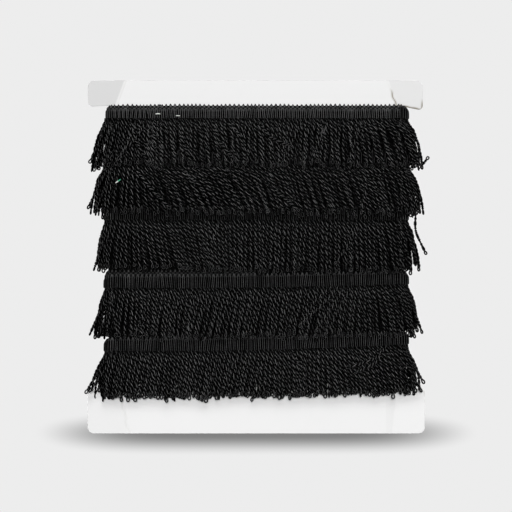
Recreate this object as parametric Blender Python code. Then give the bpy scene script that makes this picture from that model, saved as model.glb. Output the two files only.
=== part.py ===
"""Looped fringe trim wound on a notched white card.

The card lies face up. X runs to the right across its face, Y runs up its face and Z points out of it.
One length of trim goes round the card's narrow middle, over the turns beneath it. Its outermost turns
start low on the back, cross the front level and climb one tier on each pass across the back. Their cut end
lies at the upper left of the front, and past it the turn beneath shows. Everything is in metres.
"""

import math
from typing import NamedTuple

import bmesh
import bpy
import numpy as np
from mathutils import Matrix, Vector

MM = 0.001
GAP = 0.3 * MM

# The card, seen from the front.
CARD_HALF_WIDTH = 135.2 * MM
CARD_HALF_HEIGHT = 141.2 * MM
CARD_THICK = 1.5 * MM
NOTCH_HALF_WIDTH = 112.4 * MM
NOTCH_TOP = 121.4 * MM
NOTCH_BOTTOM = -106.0 * MM
OUTER_RADIUS = 5.0 * MM
INNER_RADIUS = 3.5 * MM
ARC_STEPS = 4

# The trim: a woven heading with a skirt of twisted loops hanging from its lower edge.
HEADING_HEIGHT = 10.8 * MM
HEADING_THICK = 1.8 * MM
SKIRT_LENGTH = 40.0 * MM
EDGE_CLEARANCE = 2.1 * MM
BEND_CENTRE = NOTCH_HALF_WIDTH + EDGE_CLEARANCE
CUT_END_X = -86.7 * MM

# Distances out from the middle of the card's thickness. Round the card's edges the turns beneath are pulled
# in a little, and the trim stands off them.
TURNS_IN = CARD_THICK / 2 + GAP
TURNS_OUT = 4.6 * MM
TURNS_UNDER_HEADING = 3.5 * MM
HEADING_IN = TURNS_OUT + GAP
HEADING_OUT = HEADING_IN + HEADING_THICK
LIE_DEPTH = 9.6 * MM
TURNS_BEND_EASE = -0.4 * MM
HEADING_BEND_EASE = 0.9 * MM

# Places along the trim count quarters of a lap. A lap crosses the front to the left, goes round the left
# edge, crosses the back to the right and goes round the right edge.
TRIM_START = 2.72
CUT_END = 20 + (BEND_CENTRE - CUT_END_X) / (2 * BEND_CENTRE)
UPPER_TURN_ON_BACK = 22
UPPER_TURN_END = 22.5
CUT_GAP = GAP / (2 * BEND_CENTRE)
BACK_CLIMB = 0.8
UPPER_TURN_MARGIN = 1.5 * MM

FRONT_LOCKS = 33
BACK_LOCKS = 20
BEND_LOCKS = 3
LOCK_GAP = 0.9 * MM
TURN_SIDES = 8


class Tab(NamedTuple):
    """A corner of the card outside its notch, bent back a little along a crease."""

    side: int
    outer_x: float
    edge_y: float
    notch_y: float
    crease_x: float
    bend: float


TABS = (
    Tab(-1, CARD_HALF_WIDTH, CARD_HALF_HEIGHT, NOTCH_TOP, 105.0 * MM, 9.0),
    Tab(1, 133.6 * MM, CARD_HALF_HEIGHT, NOTCH_TOP, 105.4 * MM, 8.0),
    Tab(1, CARD_HALF_WIDTH, -CARD_HALF_HEIGHT, NOTCH_BOTTOM, 108.0 * MM, 2.0),
    Tab(-1, CARD_HALF_WIDTH, -CARD_HALF_HEIGHT, NOTCH_BOTTOM, 102.6 * MM, 3.0),
)


class Tier(NamedTuple):
    """One pass across the front: its heading's top edge at each side, and its skirt's share of full length."""

    left: float
    right: float
    skirt: float


TIERS = (
    Tier(120.8 * MM, 120.8 * MM, 1.0),
    Tier(84.4 * MM, 84.4 * MM, 1.0),
    Tier(39.6 * MM, 39.6 * MM, 1.0),
    Tier(-14.4 * MM, -10.8 * MM, 1.0),
    Tier(-65.6 * MM, -59.6 * MM, 0.96),
)

# How far a lock's tip leans along X, for each tier, at these places across the front.
LEAN_X = np.array([-114.0, -95.0, -75.0, -45.0, -15.0, 15.0, 45.0, 75.0, 95.0, 114.0]) * MM
LEANS = {
    1: np.array([-8.0, -4.0, -1.0, 2.0, 4.0, 6.0, 6.0, 7.0, 8.0, 9.0]) * MM,
    2: np.array([-8.0, -2.0, 4.0, 9.0, 10.0, 9.0, 8.0, 9.0, 9.0, 9.0]) * MM,
    3: np.array([-7.0, -2.0, 3.0, 5.0, 4.0, 3.0, 5.0, 6.0, 7.0, 7.0]) * MM,
    4: np.array([-7.0, -3.0, 0.0, 2.0, 3.0, 3.0, 1.0, 3.0, 5.0, 8.0]) * MM,
    5: np.array([-9.0, -5.0, -2.0, 0.0, 1.0, 3.0, 5.0, 7.0, 9.0, 11.0]) * MM,
}
BACK_LEAN = np.array([-7.0, -3.0, 0.0, 1.5, 0.5, -1.0, 0.0, 2.0, 4.0, 8.0]) * MM


class Ring(NamedTuple):
    """A section across a lock: how far down the skirt, its depths, and its shares of the lean and the width."""

    fall: float
    inner: float
    outer: float
    lean: float
    fill: float


FRONT_RINGS = (
    Ring(0.20, 5.3 * MM, 7.3 * MM, 0.25, 0.90),
    Ring(0.56, 7.2 * MM, LIE_DEPTH, 0.70, 0.88),
    Ring(1.00, 7.6 * MM, 9.4 * MM, 1.00, 0.76),
)
BACK_RINGS = (
    Ring(0.20, 5.3 * MM, 7.3 * MM, 0.25, 0.90),
    Ring(0.56, 7.2 * MM, LIE_DEPTH, 0.70, 0.88),
    Ring(1.00, 7.7 * MM, LIE_DEPTH, 1.00, 0.76),
)
BEND_RINGS = (
    Ring(0.20, 5.6 * MM, 7.5 * MM, 0.27, 0.90),
    Ring(0.56, 6.0 * MM, 8.1 * MM, 0.73, 0.95),
    Ring(1.00, 6.2 * MM, 7.9 * MM, 1.00, 0.95),
)
BEND_FLARE = 11.0 * MM
SIDE_TIP_Y = NOTCH_BOTTOM + 2.0 * MM
TURNS_BOTTOM = NOTCH_BOTTOM + 1.0 * MM

CARD_WHITE = (0.86, 0.86, 0.85, 1.0)
YARN_BLACK = (0.012, 0.012, 0.013, 1.0)


def material(name, colour, roughness):
    """A plain finish."""
    made = bpy.data.materials.new(name)
    made.use_nodes = True
    shader = made.node_tree.nodes["Principled BSDF"]
    shader.inputs["Base Color"].default_value = colour
    shader.inputs["Roughness"].default_value = roughness
    shader.inputs["Metallic"].default_value = 0.0
    return made


def mesh_object(name, mesh, finish):
    """A named object of this mesh, lifted so that the back of the winding lies at height zero."""
    mesh.materials.append(finish)
    made = bpy.data.objects.new(name, mesh)
    made.location = (0.0, 0.0, LIE_DEPTH)
    bpy.context.scene.collection.objects.link(made)
    return made


# The card


def arc(centre, radius, start, end):
    """Points on a quarter circle in the card's plane, from one angle to the other, in degrees."""
    angles = np.radians(np.linspace(start, end, ARC_STEPS + 1))
    return [(centre[0] + radius * math.cos(a), centre[1] + radius * math.sin(a)) for a in angles]


def tab_outline(tab):
    """The tab's own corners, from its crease at the card's edge round to its notch."""
    up = 1 if tab.edge_y > 0 else -1
    x, y = tab.outer_x - OUTER_RADIUS, tab.edge_y - up * OUTER_RADIUS
    points = arc((x, y), OUTER_RADIUS, up * 90, 0)
    x, y = tab.outer_x - INNER_RADIUS, tab.notch_y + up * INNER_RADIUS
    points += arc((x, y), INNER_RADIUS, 0, -up * 90)
    return [(tab.side * px, py) for px, py in points]


def build_card(finish):
    """A flat middle and four tabs that share its creases, given their thickness by Solidify."""
    mesh = bmesh.new()
    middle = []
    for tab in TABS:
        edge = mesh.verts.new((tab.side * tab.crease_x, tab.edge_y, 0.0))
        corner = mesh.verts.new((tab.side * NOTCH_HALF_WIDTH, tab.notch_y, 0.0))
        own = [mesh.verts.new((x, y, 0.0)) for x, y in tab_outline(tab)]
        mesh.faces.new([edge, *own, corner])
        crease = (corner.co - edge.co).normalized()
        outward = Vector((tab.side, 0.0, 0.0))
        backwards = -math.copysign(math.radians(tab.bend), crease.cross(outward).z)
        bmesh.ops.rotate(mesh, verts=own, cent=edge.co, matrix=Matrix.Rotation(backwards, 3, crease))
        middle += [edge, corner] if tab.side * tab.edge_y > 0 else [corner, edge]
    mesh.faces.new(middle)
    bmesh.ops.recalc_face_normals(mesh, faces=mesh.faces)
    data = bpy.data.meshes.new("card")
    mesh.to_mesh(data)
    mesh.free()
    card = mesh_object("card", data, finish)
    thick = card.modifiers.new("Thickness", "SOLIDIFY")
    thick.thickness = CARD_THICK
    thick.offset = 0.0
    thick.use_even_offset = True


# The path round the card


def outward_at(place):
    """The direction out from the card's edge at a place on the lap, as (x, z)."""
    place = place % 4
    if place < 1:
        return np.array([0.0, 1.0])
    if place < 2:
        angle = math.pi * (place - 1)
        return np.array([-math.sin(angle), math.cos(angle)])
    if place < 3:
        return np.array([0.0, -1.0])
    angle = math.pi * (place - 3)
    return np.array([math.sin(angle), -math.cos(angle)])


def middle_at(place):
    """The point on the card's mid-plane that the lap passes over, as (x, z)."""
    place = place % 4
    share = min(place, 1.0) if place < 2 else 3.0 - min(place, 3.0)
    return np.array([BEND_CENTRE * (1 - 2 * share), 0.0])


def around(place, depth, y, ease=0.0):
    """A point at this depth out from the card, eased further out by this much where the edge is sharpest."""
    out = outward_at(place)
    x, z = middle_at(place) + (depth + ease * abs(out[0])) * out
    return np.array([x, y, z])


def on_bend(place):
    """Whether this place on the lap is on one of the card's two edges."""
    return 1 <= place % 4 < 2 or place % 4 >= 3


def top_at(place):
    """The height of the heading's top edge: the first whole lap is the lowest tier, the last the top one."""
    lap, within = divmod(place, 4)
    tier = TIERS[-1] if lap < 1 else TIERS[len(TIERS) - int(lap)]
    if lap < 1:
        return tier.right
    if within < 1:
        return tier.right + (tier.left - tier.right) * within
    if within < 2 or tier is TIERS[0]:
        return tier.left
    above = TIERS[TIERS.index(tier) - 1]
    return tier.left + (above.right - tier.left) * min((within - 2) / BACK_CLIMB, 1.0)


# The trim


def tier_of(place):
    """The number of the tier, from the top, that this place's front pass belongs to."""
    return len(TIERS) - max(int(place // 4), 1) + 1


def lean_at(place):
    """How far the tip leans along X here, and how fast that changes along X."""
    x = middle_at(place)[0]
    table = LEANS[tier_of(place)] if place % 4 < 1 else BACK_LEAN
    step = 2 * MM
    here, ahead, behind = (float(np.interp(x + d, LEAN_X, table)) for d in (0.0, step, -step))
    return here, (ahead - behind) / (2 * step)


def locks_in(quarter):
    """How many locks hang in this quarter of a lap."""
    if quarter % 2:
        return BEND_LOCKS
    return FRONT_LOCKS if quarter % 4 == 0 else BACK_LOCKS


def pitch_at(place):
    """The width of trim that one lock hangs from."""
    length = math.pi * (HEADING_IN + HEADING_OUT) / 2 if on_bend(place) else 2 * BEND_CENTRE
    return length / locks_in(int(place))


def stations(first, last):
    """The places where each lock starts and ends, between these two places."""
    found = []
    for quarter in range(int(first), int(last) + 1):
        count = locks_in(quarter)
        margin = LOCK_GAP / pitch_at(quarter + 0.5) / count / 2
        for i in range(count):
            start = quarter + i / count + margin
            end = quarter + (i + 1) / count - margin
            if start >= first and end <= last:
                found.append((start, end))
    return found


def straight_ring(place, ring, length):
    """The four corners of a section through a lock that hangs on the front or the back."""
    lean, change = lean_at(place)
    fall = ring.fall * math.sqrt(length**2 - (ring.lean * lean) ** 2)
    half = pitch_at(place) * (1 + ring.lean * change) * ring.fill / 2
    x = middle_at(place)[0] + ring.lean * lean
    y = top_at(place) - HEADING_HEIGHT - fall
    out = outward_at(place)[1]
    ahead = -out
    return [
        (x - ahead * half, y, out * ring.inner),
        (x + ahead * half, y, out * ring.inner),
        (x + ahead * half, y, out * ring.outer),
        (x - ahead * half, y, out * ring.outer),
    ]


def bend_ring(place, ring, length):
    """The four corners of a section through a lock at the card's edge, which flares out sideways."""
    out = outward_at(place)
    ahead = np.array([-out[1], out[0]])
    sideways = np.array([math.copysign(1.0, out[0]), 0.0]) * BEND_FLARE * ring.lean
    fall = ring.fall * length
    y = top_at(place) - HEADING_HEIGHT - fall
    half = pitch_at(place) * ring.fill / 2
    corners = []
    for depth, side in ((ring.inner, -1), (ring.inner, 1), (ring.outer, 1), (ring.outer, -1)):
        x, z = middle_at(place) + depth * out + side * half * ahead + sideways
        corners.append((x, y, z))
    return corners


def lock_rings(start, end, rng):
    """The sections down one lock, from the heading's lower edge to its tip. At the card's edges the lowest
    locks stop above the tabs. On the back the upper turn's locks stop above the turn that lies over them."""
    place = (start + end) / 2
    tier = TIERS[tier_of(place) - 1]
    root = top_at(place) - HEADING_HEIGHT
    length = SKIRT_LENGTH * tier.skirt * rng.uniform(0.97, 1.03)
    if place > UPPER_TURN_ON_BACK:
        length = root - top_at(place - 4) - UPPER_TURN_MARGIN
    if on_bend(place):
        length = min(length, root - SIDE_TIP_Y)
        return [bend_ring(place, ring, length) for ring in BEND_RINGS]
    rings = FRONT_RINGS if place % 4 < 1 else BACK_RINGS
    return [straight_ring(place, ring, length) for ring in rings]


def build_run(name, first, last, finish):
    """One solid: the heading as a strip of square section along its path, with a lock drawn from its lower
    face between each pair of columns."""
    rng = np.random.default_rng(7)
    locks = stations(first, last)
    places = [first, *(place for lock in locks for place in lock), last]
    mesh = bmesh.new()
    columns = []
    for place in places:
        top = top_at(place)
        low = top - HEADING_HEIGHT
        corners = ((HEADING_IN, top), (HEADING_OUT, top), (HEADING_OUT, low), (HEADING_IN, low))
        points = [around(place, *corner, HEADING_BEND_EASE) for corner in corners]
        columns.append([mesh.verts.new(point) for point in points])
    mesh.faces.new(columns[0])
    mesh.faces.new(reversed(columns[-1]))
    for index, (a, b) in enumerate(zip(columns, columns[1:])):
        for side in (0, 1, 3):
            mesh.faces.new((a[side], b[side], b[(side + 1) % 4], a[(side + 1) % 4]))
        ring = [a[3], b[3], b[2], a[2]]
        if index % 2:
            for corners in lock_rings(places[index], places[index + 1], rng):
                below = [mesh.verts.new(point) for point in corners]
                for side in range(4):
                    other = (side + 1) % 4
                    mesh.faces.new((ring[side], ring[other], below[other], below[side]))
                ring = below
        mesh.faces.new(ring)
    bmesh.ops.recalc_face_normals(mesh, faces=mesh.faces)
    data = bpy.data.meshes.new(name)
    mesh.to_mesh(data)
    mesh.free()
    mesh_object(name, data, finish)


# The turns beneath, as one wound form


def turn_rows():
    """(height, depth) down the outside of the turns beneath: each tier swells from its heading to its tips."""
    rows = []
    for tier, below in zip(TIERS, TIERS[1:] + (None,)):
        top = min(tier.left, tier.right) - GAP
        bottom = min(below.left, below.right) if below else TURNS_BOTTOM
        rows += [(top, TURNS_UNDER_HEADING), (top - HEADING_HEIGHT, TURNS_UNDER_HEADING)]
        rows.append((bottom, TURNS_OUT))
    return rows


def build_turns(finish):
    """A sleeve round the card's middle: its outside follows the rows, and its inside is plain."""
    rows = turn_rows()
    loop = [(rows[0][0], TURNS_IN), *rows, (rows[-1][0], TURNS_IN)]
    places = [quarter + i / TURN_SIDES for quarter in (1, 3) for i in range(TURN_SIDES + 1)]
    mesh = bmesh.new()
    columns = []
    for place in places:
        points = [around(place, depth, y, TURNS_BEND_EASE) for y, depth in loop]
        columns.append([mesh.verts.new(point) for point in points])
    for a, b in zip(columns, columns[1:] + columns[:1]):
        for i in range(len(loop)):
            j = (i + 1) % len(loop)
            mesh.faces.new((a[i], b[i], b[j], a[j]))
    bmesh.ops.recalc_face_normals(mesh, faces=mesh.faces)
    data = bpy.data.meshes.new("under_turns")
    mesh.to_mesh(data)
    mesh.free()
    mesh_object("under_turns", data, finish)


def main():
    """Clears the scene and builds the card, the turns beneath and the trim."""
    for old in list(bpy.data.objects):
        bpy.data.objects.remove(old)
    board = material("card_board", CARD_WHITE, 0.6)
    yarn = material("fringe_yarn", YARN_BLACK, 0.55)
    build_card(board)
    build_turns(yarn)
    build_run("trim", TRIM_START, CUT_END - CUT_GAP, yarn)
    build_run("upper_turn", CUT_END, UPPER_TURN_END, yarn)


main()
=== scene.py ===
"""The looks of a bullion fringe wound on a notched card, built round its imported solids.

The card lies face up: X runs to the right across its face, Y up its face and Z out of it. Everything is in
metres. A place on the winding counts quarters of a lap: the front, the left edge, the back, the right edge.
"""

from __future__ import annotations

import logging
import math
from dataclasses import dataclass, fields, replace
from enum import Enum, IntEnum
from typing import NamedTuple

import bpy
import numpy as np
from bpy.types import Material, Mesh, Node, NodeSocket, Object
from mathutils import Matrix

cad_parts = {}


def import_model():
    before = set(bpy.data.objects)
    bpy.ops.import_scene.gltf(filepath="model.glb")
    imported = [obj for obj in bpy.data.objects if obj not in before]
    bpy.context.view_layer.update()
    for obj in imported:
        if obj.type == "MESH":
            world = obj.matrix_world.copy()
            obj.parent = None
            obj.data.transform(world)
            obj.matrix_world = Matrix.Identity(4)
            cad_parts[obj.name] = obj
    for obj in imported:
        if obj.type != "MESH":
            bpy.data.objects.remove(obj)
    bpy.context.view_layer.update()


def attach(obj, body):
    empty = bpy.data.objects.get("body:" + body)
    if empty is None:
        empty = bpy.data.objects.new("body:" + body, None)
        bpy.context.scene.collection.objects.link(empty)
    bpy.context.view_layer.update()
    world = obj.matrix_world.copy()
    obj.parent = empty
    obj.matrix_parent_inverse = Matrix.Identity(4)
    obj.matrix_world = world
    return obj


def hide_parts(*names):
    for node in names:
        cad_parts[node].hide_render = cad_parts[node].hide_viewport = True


LOG = logging.getLogger("fringe")
MM = 0.001
TURN = 2 * math.pi
UV_PER_METRE = 100
# From one rib of the heading, or one cord of the skirt, to the next.
RIB = 1.684 * MM
BODY = "root"
X_AXIS, Y_AXIS, Z_AXIS = np.eye(3)
Array = np.ndarray
Random = np.random.Generator
Colour = tuple[float, float, float]
Point = tuple[float, float, float]


class Seed(IntEnum):
    """Where each kind of piece starts its random draws. The tier or the lap is added."""

    HEADING = 11
    HEADING_BACK = 21
    HEADING_UPPER = 31
    HEADING_BENEATH = 41
    FACE = 100
    HIDDEN = 150
    RIGHT_EDGE = 200
    LEFT_EDGE = 300
    BACK = 500
    UPPER_FACE = 601
    UPPER_EDGE = 602
    UPPER_BACK = 603
    LOOSE = 700


# Small sums on arrays


def unit(vectors: Array) -> Array:
    """Each vector along the last axis, scaled to length one."""
    return vectors / np.maximum(np.linalg.norm(vectors, axis=-1, keepdims=True), 1e-12)


def smooth(share: Array) -> Array:
    """The curve 3t^2 - 2t^3 of a share clipped to 0..1."""
    t = np.clip(share, 0.0, 1.0)
    return t * t * (3.0 - 2.0 * t)


def soft_line(away: Array, width: float) -> Array:
    """How much of a soft line shows at a distance from its middle: exp(-(away / width)^2)."""
    return np.exp(-((away / width) ** 2))


def running(slope: Array, step: Array) -> Array:
    """The running integral of slopes (n, m) along their rows, by trapezia from zero, for steps (n, 1)."""
    parts = (slope[:, 1:] + slope[:, :-1]) / 2 * step
    return np.concatenate([np.zeros_like(slope[:, :1]), np.cumsum(parts, axis=1)], axis=1)


def drift(rng: Random, x: Array, wave: float, size: float) -> Array:
    """A smooth random curve over x: three sines of falling wavelength with random phases.

    Args:
        rng: the source of the phases.
        x: where it is wanted.
        wave: the longest wavelength.
        size: its usual height.

    Returns:
        The curve's value at each x.
    """
    waves = wave * np.array([1.0, 0.61, 0.37])
    phases = rng.uniform(0, TURN, len(waves))
    return size * np.sin(TURN * x[..., None] / waves + phases).sum(-1) / math.sqrt(1.5)


# Meshes from arrays


@dataclass
class Shell:
    """Closed surfaces held as arrays until they become one object's mesh.

    Each face is a run of corners. A corner knows its point and its place on the yarn. A point's marks are
    its shade and the two numbers that its finish reads: on a cord, the cosine and sine of the angle from
    the open side to the first ply, and on a heading, how ribbed the point is, and none. The shade holds
    painted shade, and from the other two the finish paints a highlight along each ply or rib.
    """

    points: Array
    corners: Array
    sizes: Array
    uv: Array
    marks: Array

    LABELS = ("tone", "ply_over", "ply_aside")

    @staticmethod
    def join(shells: list[Shell]) -> Shell:
        """All the shells in one, each one's corners moved on past the points before it.

        Args:
            shells: at least one shell.

        Returns:
            The joined shell.
        """
        offsets = np.cumsum([0] + [len(shell.points) for shell in shells[:-1]])
        moved = [replace(shell, corners=shell.corners + offset) for shell, offset in zip(shells, offsets)]
        names = [part.name for part in fields(Shell)]
        return Shell(*(np.concatenate([getattr(shell, name) for shell in moved]) for name in names))

    def to_object(self, name: str, finish: Material, replaces: tuple[str, ...]) -> Object:
        """One smooth-shaded object of these surfaces, riding on the part.

        Args:
            name: the piece's name.
            finish: its material.
            replaces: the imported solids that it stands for.

        Returns:
            The object, at the origin.
        """
        mesh = bpy.data.meshes.new(name)
        mesh.vertices.add(len(self.points))
        mesh.vertices.foreach_set("co", self.points.astype(np.float32).ravel())
        mesh.loops.add(len(self.corners))
        mesh.loops.foreach_set("vertex_index", self.corners.astype(np.int32))
        mesh.polygons.add(len(self.sizes))
        starts = np.concatenate([[0], np.cumsum(self.sizes)[:-1]])
        mesh.polygons.foreach_set("loop_start", starts.astype(np.int32))
        mesh.polygons.foreach_set("use_smooth", np.ones(len(self.sizes), bool))
        mesh.update(calc_edges=True)
        mesh.uv_layers.new(name="UVMap").data.foreach_set("uv", self.uv.astype(np.float32).ravel())
        add_marks(mesh, dict(zip(self.LABELS, self.marks.T)))
        mesh.validate()
        return place_piece(mesh, finish, replaces)


def add_marks(mesh: Mesh, marks: dict[str, Array]) -> None:
    """Gives a mesh's points their numbers, each as an attribute of its own.

    Args:
        mesh: the mesh, with its points.
        marks: each attribute's name and its value at every point.
    """
    for label, values in marks.items():
        mesh.attributes.new(label, "FLOAT", "POINT").data.foreach_set("value", values.astype(np.float32))


def place_piece(mesh: Mesh, finish: Material, replaces: tuple[str, ...]) -> Object:
    """Puts a mesh in the scene with its finish and its place in the part, and reports it.

    Args:
        mesh: the finished mesh, under the piece's name.
        finish: its material.
        replaces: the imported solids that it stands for.

    Returns:
        The object, at the origin.
    """
    piece = bpy.data.objects.new(mesh.name, mesh)
    bpy.context.scene.collection.objects.link(piece)
    mesh.materials.append(finish)
    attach(piece, BODY)
    if replaces:
        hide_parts(*replaces)
    LOG.info("%s: %d faces", piece.name, len(mesh.polygons))
    return piece


def sweep(
    rings: Array, along: Array, marks: tuple[Array, Array, Array], closed: bool, shift: float = 0.0
) -> Shell:
    """Skins a set of tubes: ring i of each is joined to ring i + 1, and open ends are capped.

    Args:
        rings: (n, m, k, 3), n tubes of m rings of k points, turning right-handed about the way forward.
        along: (n, m), the distance along each tube, for its texture.
        marks: the points' shades, cosines and sines, each of any shape that spreads to (n, m, k).
        closed: whether each tube's last ring meets its first.
        shift: how far round the section the texture starts.

    Returns:
        The tubes as one shell.
    """
    n, m, k = rings.shape[:3]
    index = np.arange(n * m * k).reshape(n, m, k)
    here, ahead = (index, np.roll(index, -1, axis=1)) if closed else (index[:, :-1], index[:, 1:])
    quads = np.stack([here, np.roll(here, -1, axis=2), np.roll(ahead, -1, axis=2), ahead], axis=-1)
    start, end = (along, np.roll(along, -1, axis=1)) if closed else (along[:, :-1], along[:, 1:])
    share = np.broadcast_to(np.arange(k) / k + shift, here.shape)
    u = np.stack([share, share + 1 / k, share + 1 / k, share], axis=-1)
    v0, v1 = (np.broadcast_to(part[:, :, None], here.shape) for part in (start, end))
    v = np.stack([v0, v0, v1, v1], axis=-1)
    uv = np.stack([u.reshape(-1), v.reshape(-1) * UV_PER_METRE], axis=-1)
    corners = quads.reshape(-1)
    sizes = np.full(len(corners) // 4, 4)
    if not closed:
        caps = np.concatenate([index[:, 0, ::-1], index[:, -1]])
        corners = np.concatenate([corners, caps.reshape(-1)])
        sizes = np.concatenate([sizes, np.full(len(caps), k)])
        uv = np.concatenate([uv, np.zeros((caps.size, 2))])
    spread = np.stack([np.broadcast_to(mark, (n, m, k)).ravel() for mark in marks], axis=-1)
    return Shell(rings.reshape(-1, 3), corners, sizes, uv, spread)


# The winding


class Tier(NamedTuple):
    """One pass across the front: its heading's upper edge at each side and how far that sags between them,
    its loops' lower edge at FOOT_AT and how much shorter its hidden cords are, how unruly its cords are, how
    far out its tips lie, how much of the lean is gone by the tips, the leans in degrees at LEAN_AT, and how
    light its outer cords and the cords between them, which lie beneath, are painted, as painted shade."""

    left: float
    right: float
    sag: float
    foot: tuple[float, ...]
    short: float
    unruly: float
    tip_depth: float
    curl: float
    lean: tuple[float, ...]
    shade: float = 1.0
    beneath: float = 0.36


FOOT_AT = np.array([-114, -57, 0, 57, 114]) * MM
LEAN_AT = MM * np.array(
    [-114, -105, -95, -85, -70, -55, -40, -25, -10, 5, 20, 35, 50, 65, 80, 90, 100, 108, 114]
)
TIERS = (
    Tier(
        120.8 * MM, 120.8 * MM, 0.0, (73.0, 72.5, 72.0, 71.5, 71.0), 13.0, 0.055, 10.0 * MM, 0.2,
        (-16, -10, -4, 2, 3, 4, 6, 5, 3, 3, 0, -4, -4, -1, 5, 11, 18, 23, 24),
    ),
    Tier(
        84.4 * MM, 84.4 * MM, 0.0, (34.0, 33.5, 33.5, 33.0, 33.0), 7.0, 0.03, 8.9 * MM, 0.6,
        (-14, -5, 4, 14, 25, 31, 31, 27, 22, 20, 18, 17, 18, 18, 20, 20, 20, 18, 16), 0.90, 0.28,
    ),
    Tier(
        39.6 * MM, 39.6 * MM, 0.0, (-10.0, -10.8, -12.8, -12.8, -12.4), 2.5, 0.02, 8.7 * MM, 0.2,
        (-14, -4, 4, 10, 13, 12, 8, 3, 0, -1, -2, -2, -1, 0, 0, 2, 6, 12, 12), 0.95, 0.32,
    ),
    Tier(
        -15.0 * MM, -11.9 * MM, 1.1 * MM, (-64.6, -65.4, -65.6, -65.2, -63.8), 3.5, 0.025, 8.7 * MM, 0.2,
        (-14, -6, -2, -3, -8, -9, -12, -13, -11, -10, -9, -10, -11, -10, -4, 3, 10, 16, 18),
    ),
    Tier(
        -65.4 * MM, -60.2 * MM, 1.7 * MM, (-113.6, -113.6, -112.4, -111.2, -109.6),
        1.5, 0.012, 8.4 * MM, 0.2,
        (-16, -12, -11, -10, -5, -8, -10, -12, -12, -6, -2, 0, 0, 4, 9, 10, 12, 14, 14),
    ),
)
BACK_LEAN = (-10, -6, -2, 0, 3, 4, 2, -2, -3, 0, 2, 4, 3, 2, 4, 6, 7, 9, 10)


@dataclass(frozen=True)
class Winding:
    """The path that the trim takes round the card.

    On the front and back it is straight, and round each edge it is half a circle about the bend's centre.
    """

    bend_centre: float = 114.5 * MM
    bend_radius: float = 5.8 * MM
    mid_height: float = 9.6 * MM
    back_climb: float = 0.8
    heading: float = 10.8 * MM
    skirt: float = 40.0 * MM
    quarters: int = 26

    def turned(self, place: Array) -> Array:
        """The angle that the way out from the card has turned through since the front, in radians."""
        within = place % 4
        return math.pi * (np.clip(within - 1, 0, 1) + np.clip(within - 3, 0, 1))

    def outward(self, place: Array) -> Array:
        """The unit vector out from the card: -sin and cos of the turned angle, along X and Z."""
        angle = self.turned(place)
        return np.stack([-np.sin(angle), np.zeros_like(angle), np.cos(angle)], axis=-1)

    def middle(self, place: Array, y: Array) -> Array:
        """The point of the card's mid-plane that the trim passes over.

        Args:
            place: places on the winding.
            y: their heights up the card.

        Returns:
            The points.
        """
        within = place % 4
        x = self.bend_centre * (1 - 2 * np.clip(within, 0, 1) + 2 * np.clip(within - 2, 0, 1))
        return np.stack([x, y, np.full_like(x, self.mid_height)], axis=-1)

    def edge(self, place: Array) -> Array:
        """How far round the card's edge a place is: 0 on the front and back, 1 at the very edge."""
        return np.abs(np.sin(self.turned(place)))

    def top(self, place: Array) -> Array:
        """The height of the heading's upper edge: level on the front, and climbing a tier across the back.

        Args:
            place: places on the winding; laps 1 to 5 are the tiers from the lowest up.

        Returns:
            The heights.
        """
        knots, heights = [0.0], [TIERS[-1].right]
        for lap, number in enumerate(range(len(TIERS), 0, -1), start=1):
            tier, above = TIERS[number - 1], TIERS[max(number - 2, 0)]
            climbed = tier.left if number == 1 else above.right
            knots += [4 * lap, 4 * lap + 1, 4 * lap + 2, 4 * lap + 2 + self.back_climb]
            heights += [tier.right, tier.left, tier.left, climbed]
        span = np.clip(place % 4, 0, 1)
        sags = np.array([0.0] + [tier.sag for tier in TIERS[::-1]])
        sag = sags[np.minimum(place // 4, len(TIERS)).astype(int)]
        return np.interp(place, knots, heights) - sag * 4 * span * (1 - span)

    def reached(self) -> tuple[Array, Array]:
        """How far along the trim the ends of the quarters are: a bend is half a circle, a face is straight.

        Returns:
            The places, and each one's distance.
        """
        ends = np.arange(0, self.quarters)
        lengths = np.where(ends[:-1] % 2 == 1, math.pi * self.bend_radius, 2 * self.bend_centre)
        return ends, np.concatenate([[0], np.cumsum(lengths)])

    def run(self, first: float, last: float) -> float:
        """How long the trim is from one place to another."""
        start, end = np.interp([first, last], *self.reached())
        return float(end - start)

    def walk(self, first: float, last: float, pitch: float) -> Array:
        """Places an even distance apart, from one place to another.

        Args:
            first: the place to start from.
            last: the place to end at.
            pitch: about how far apart they lie.

        Returns:
            The places, with both ends.
        """
        ends, reached = self.reached()
        start, end = np.interp([first, last], ends, reached)
        count = max(int(round((end - start) / pitch)), 1)
        return np.interp(np.linspace(start, end, count + 1), reached, ends)


# Cords


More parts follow.
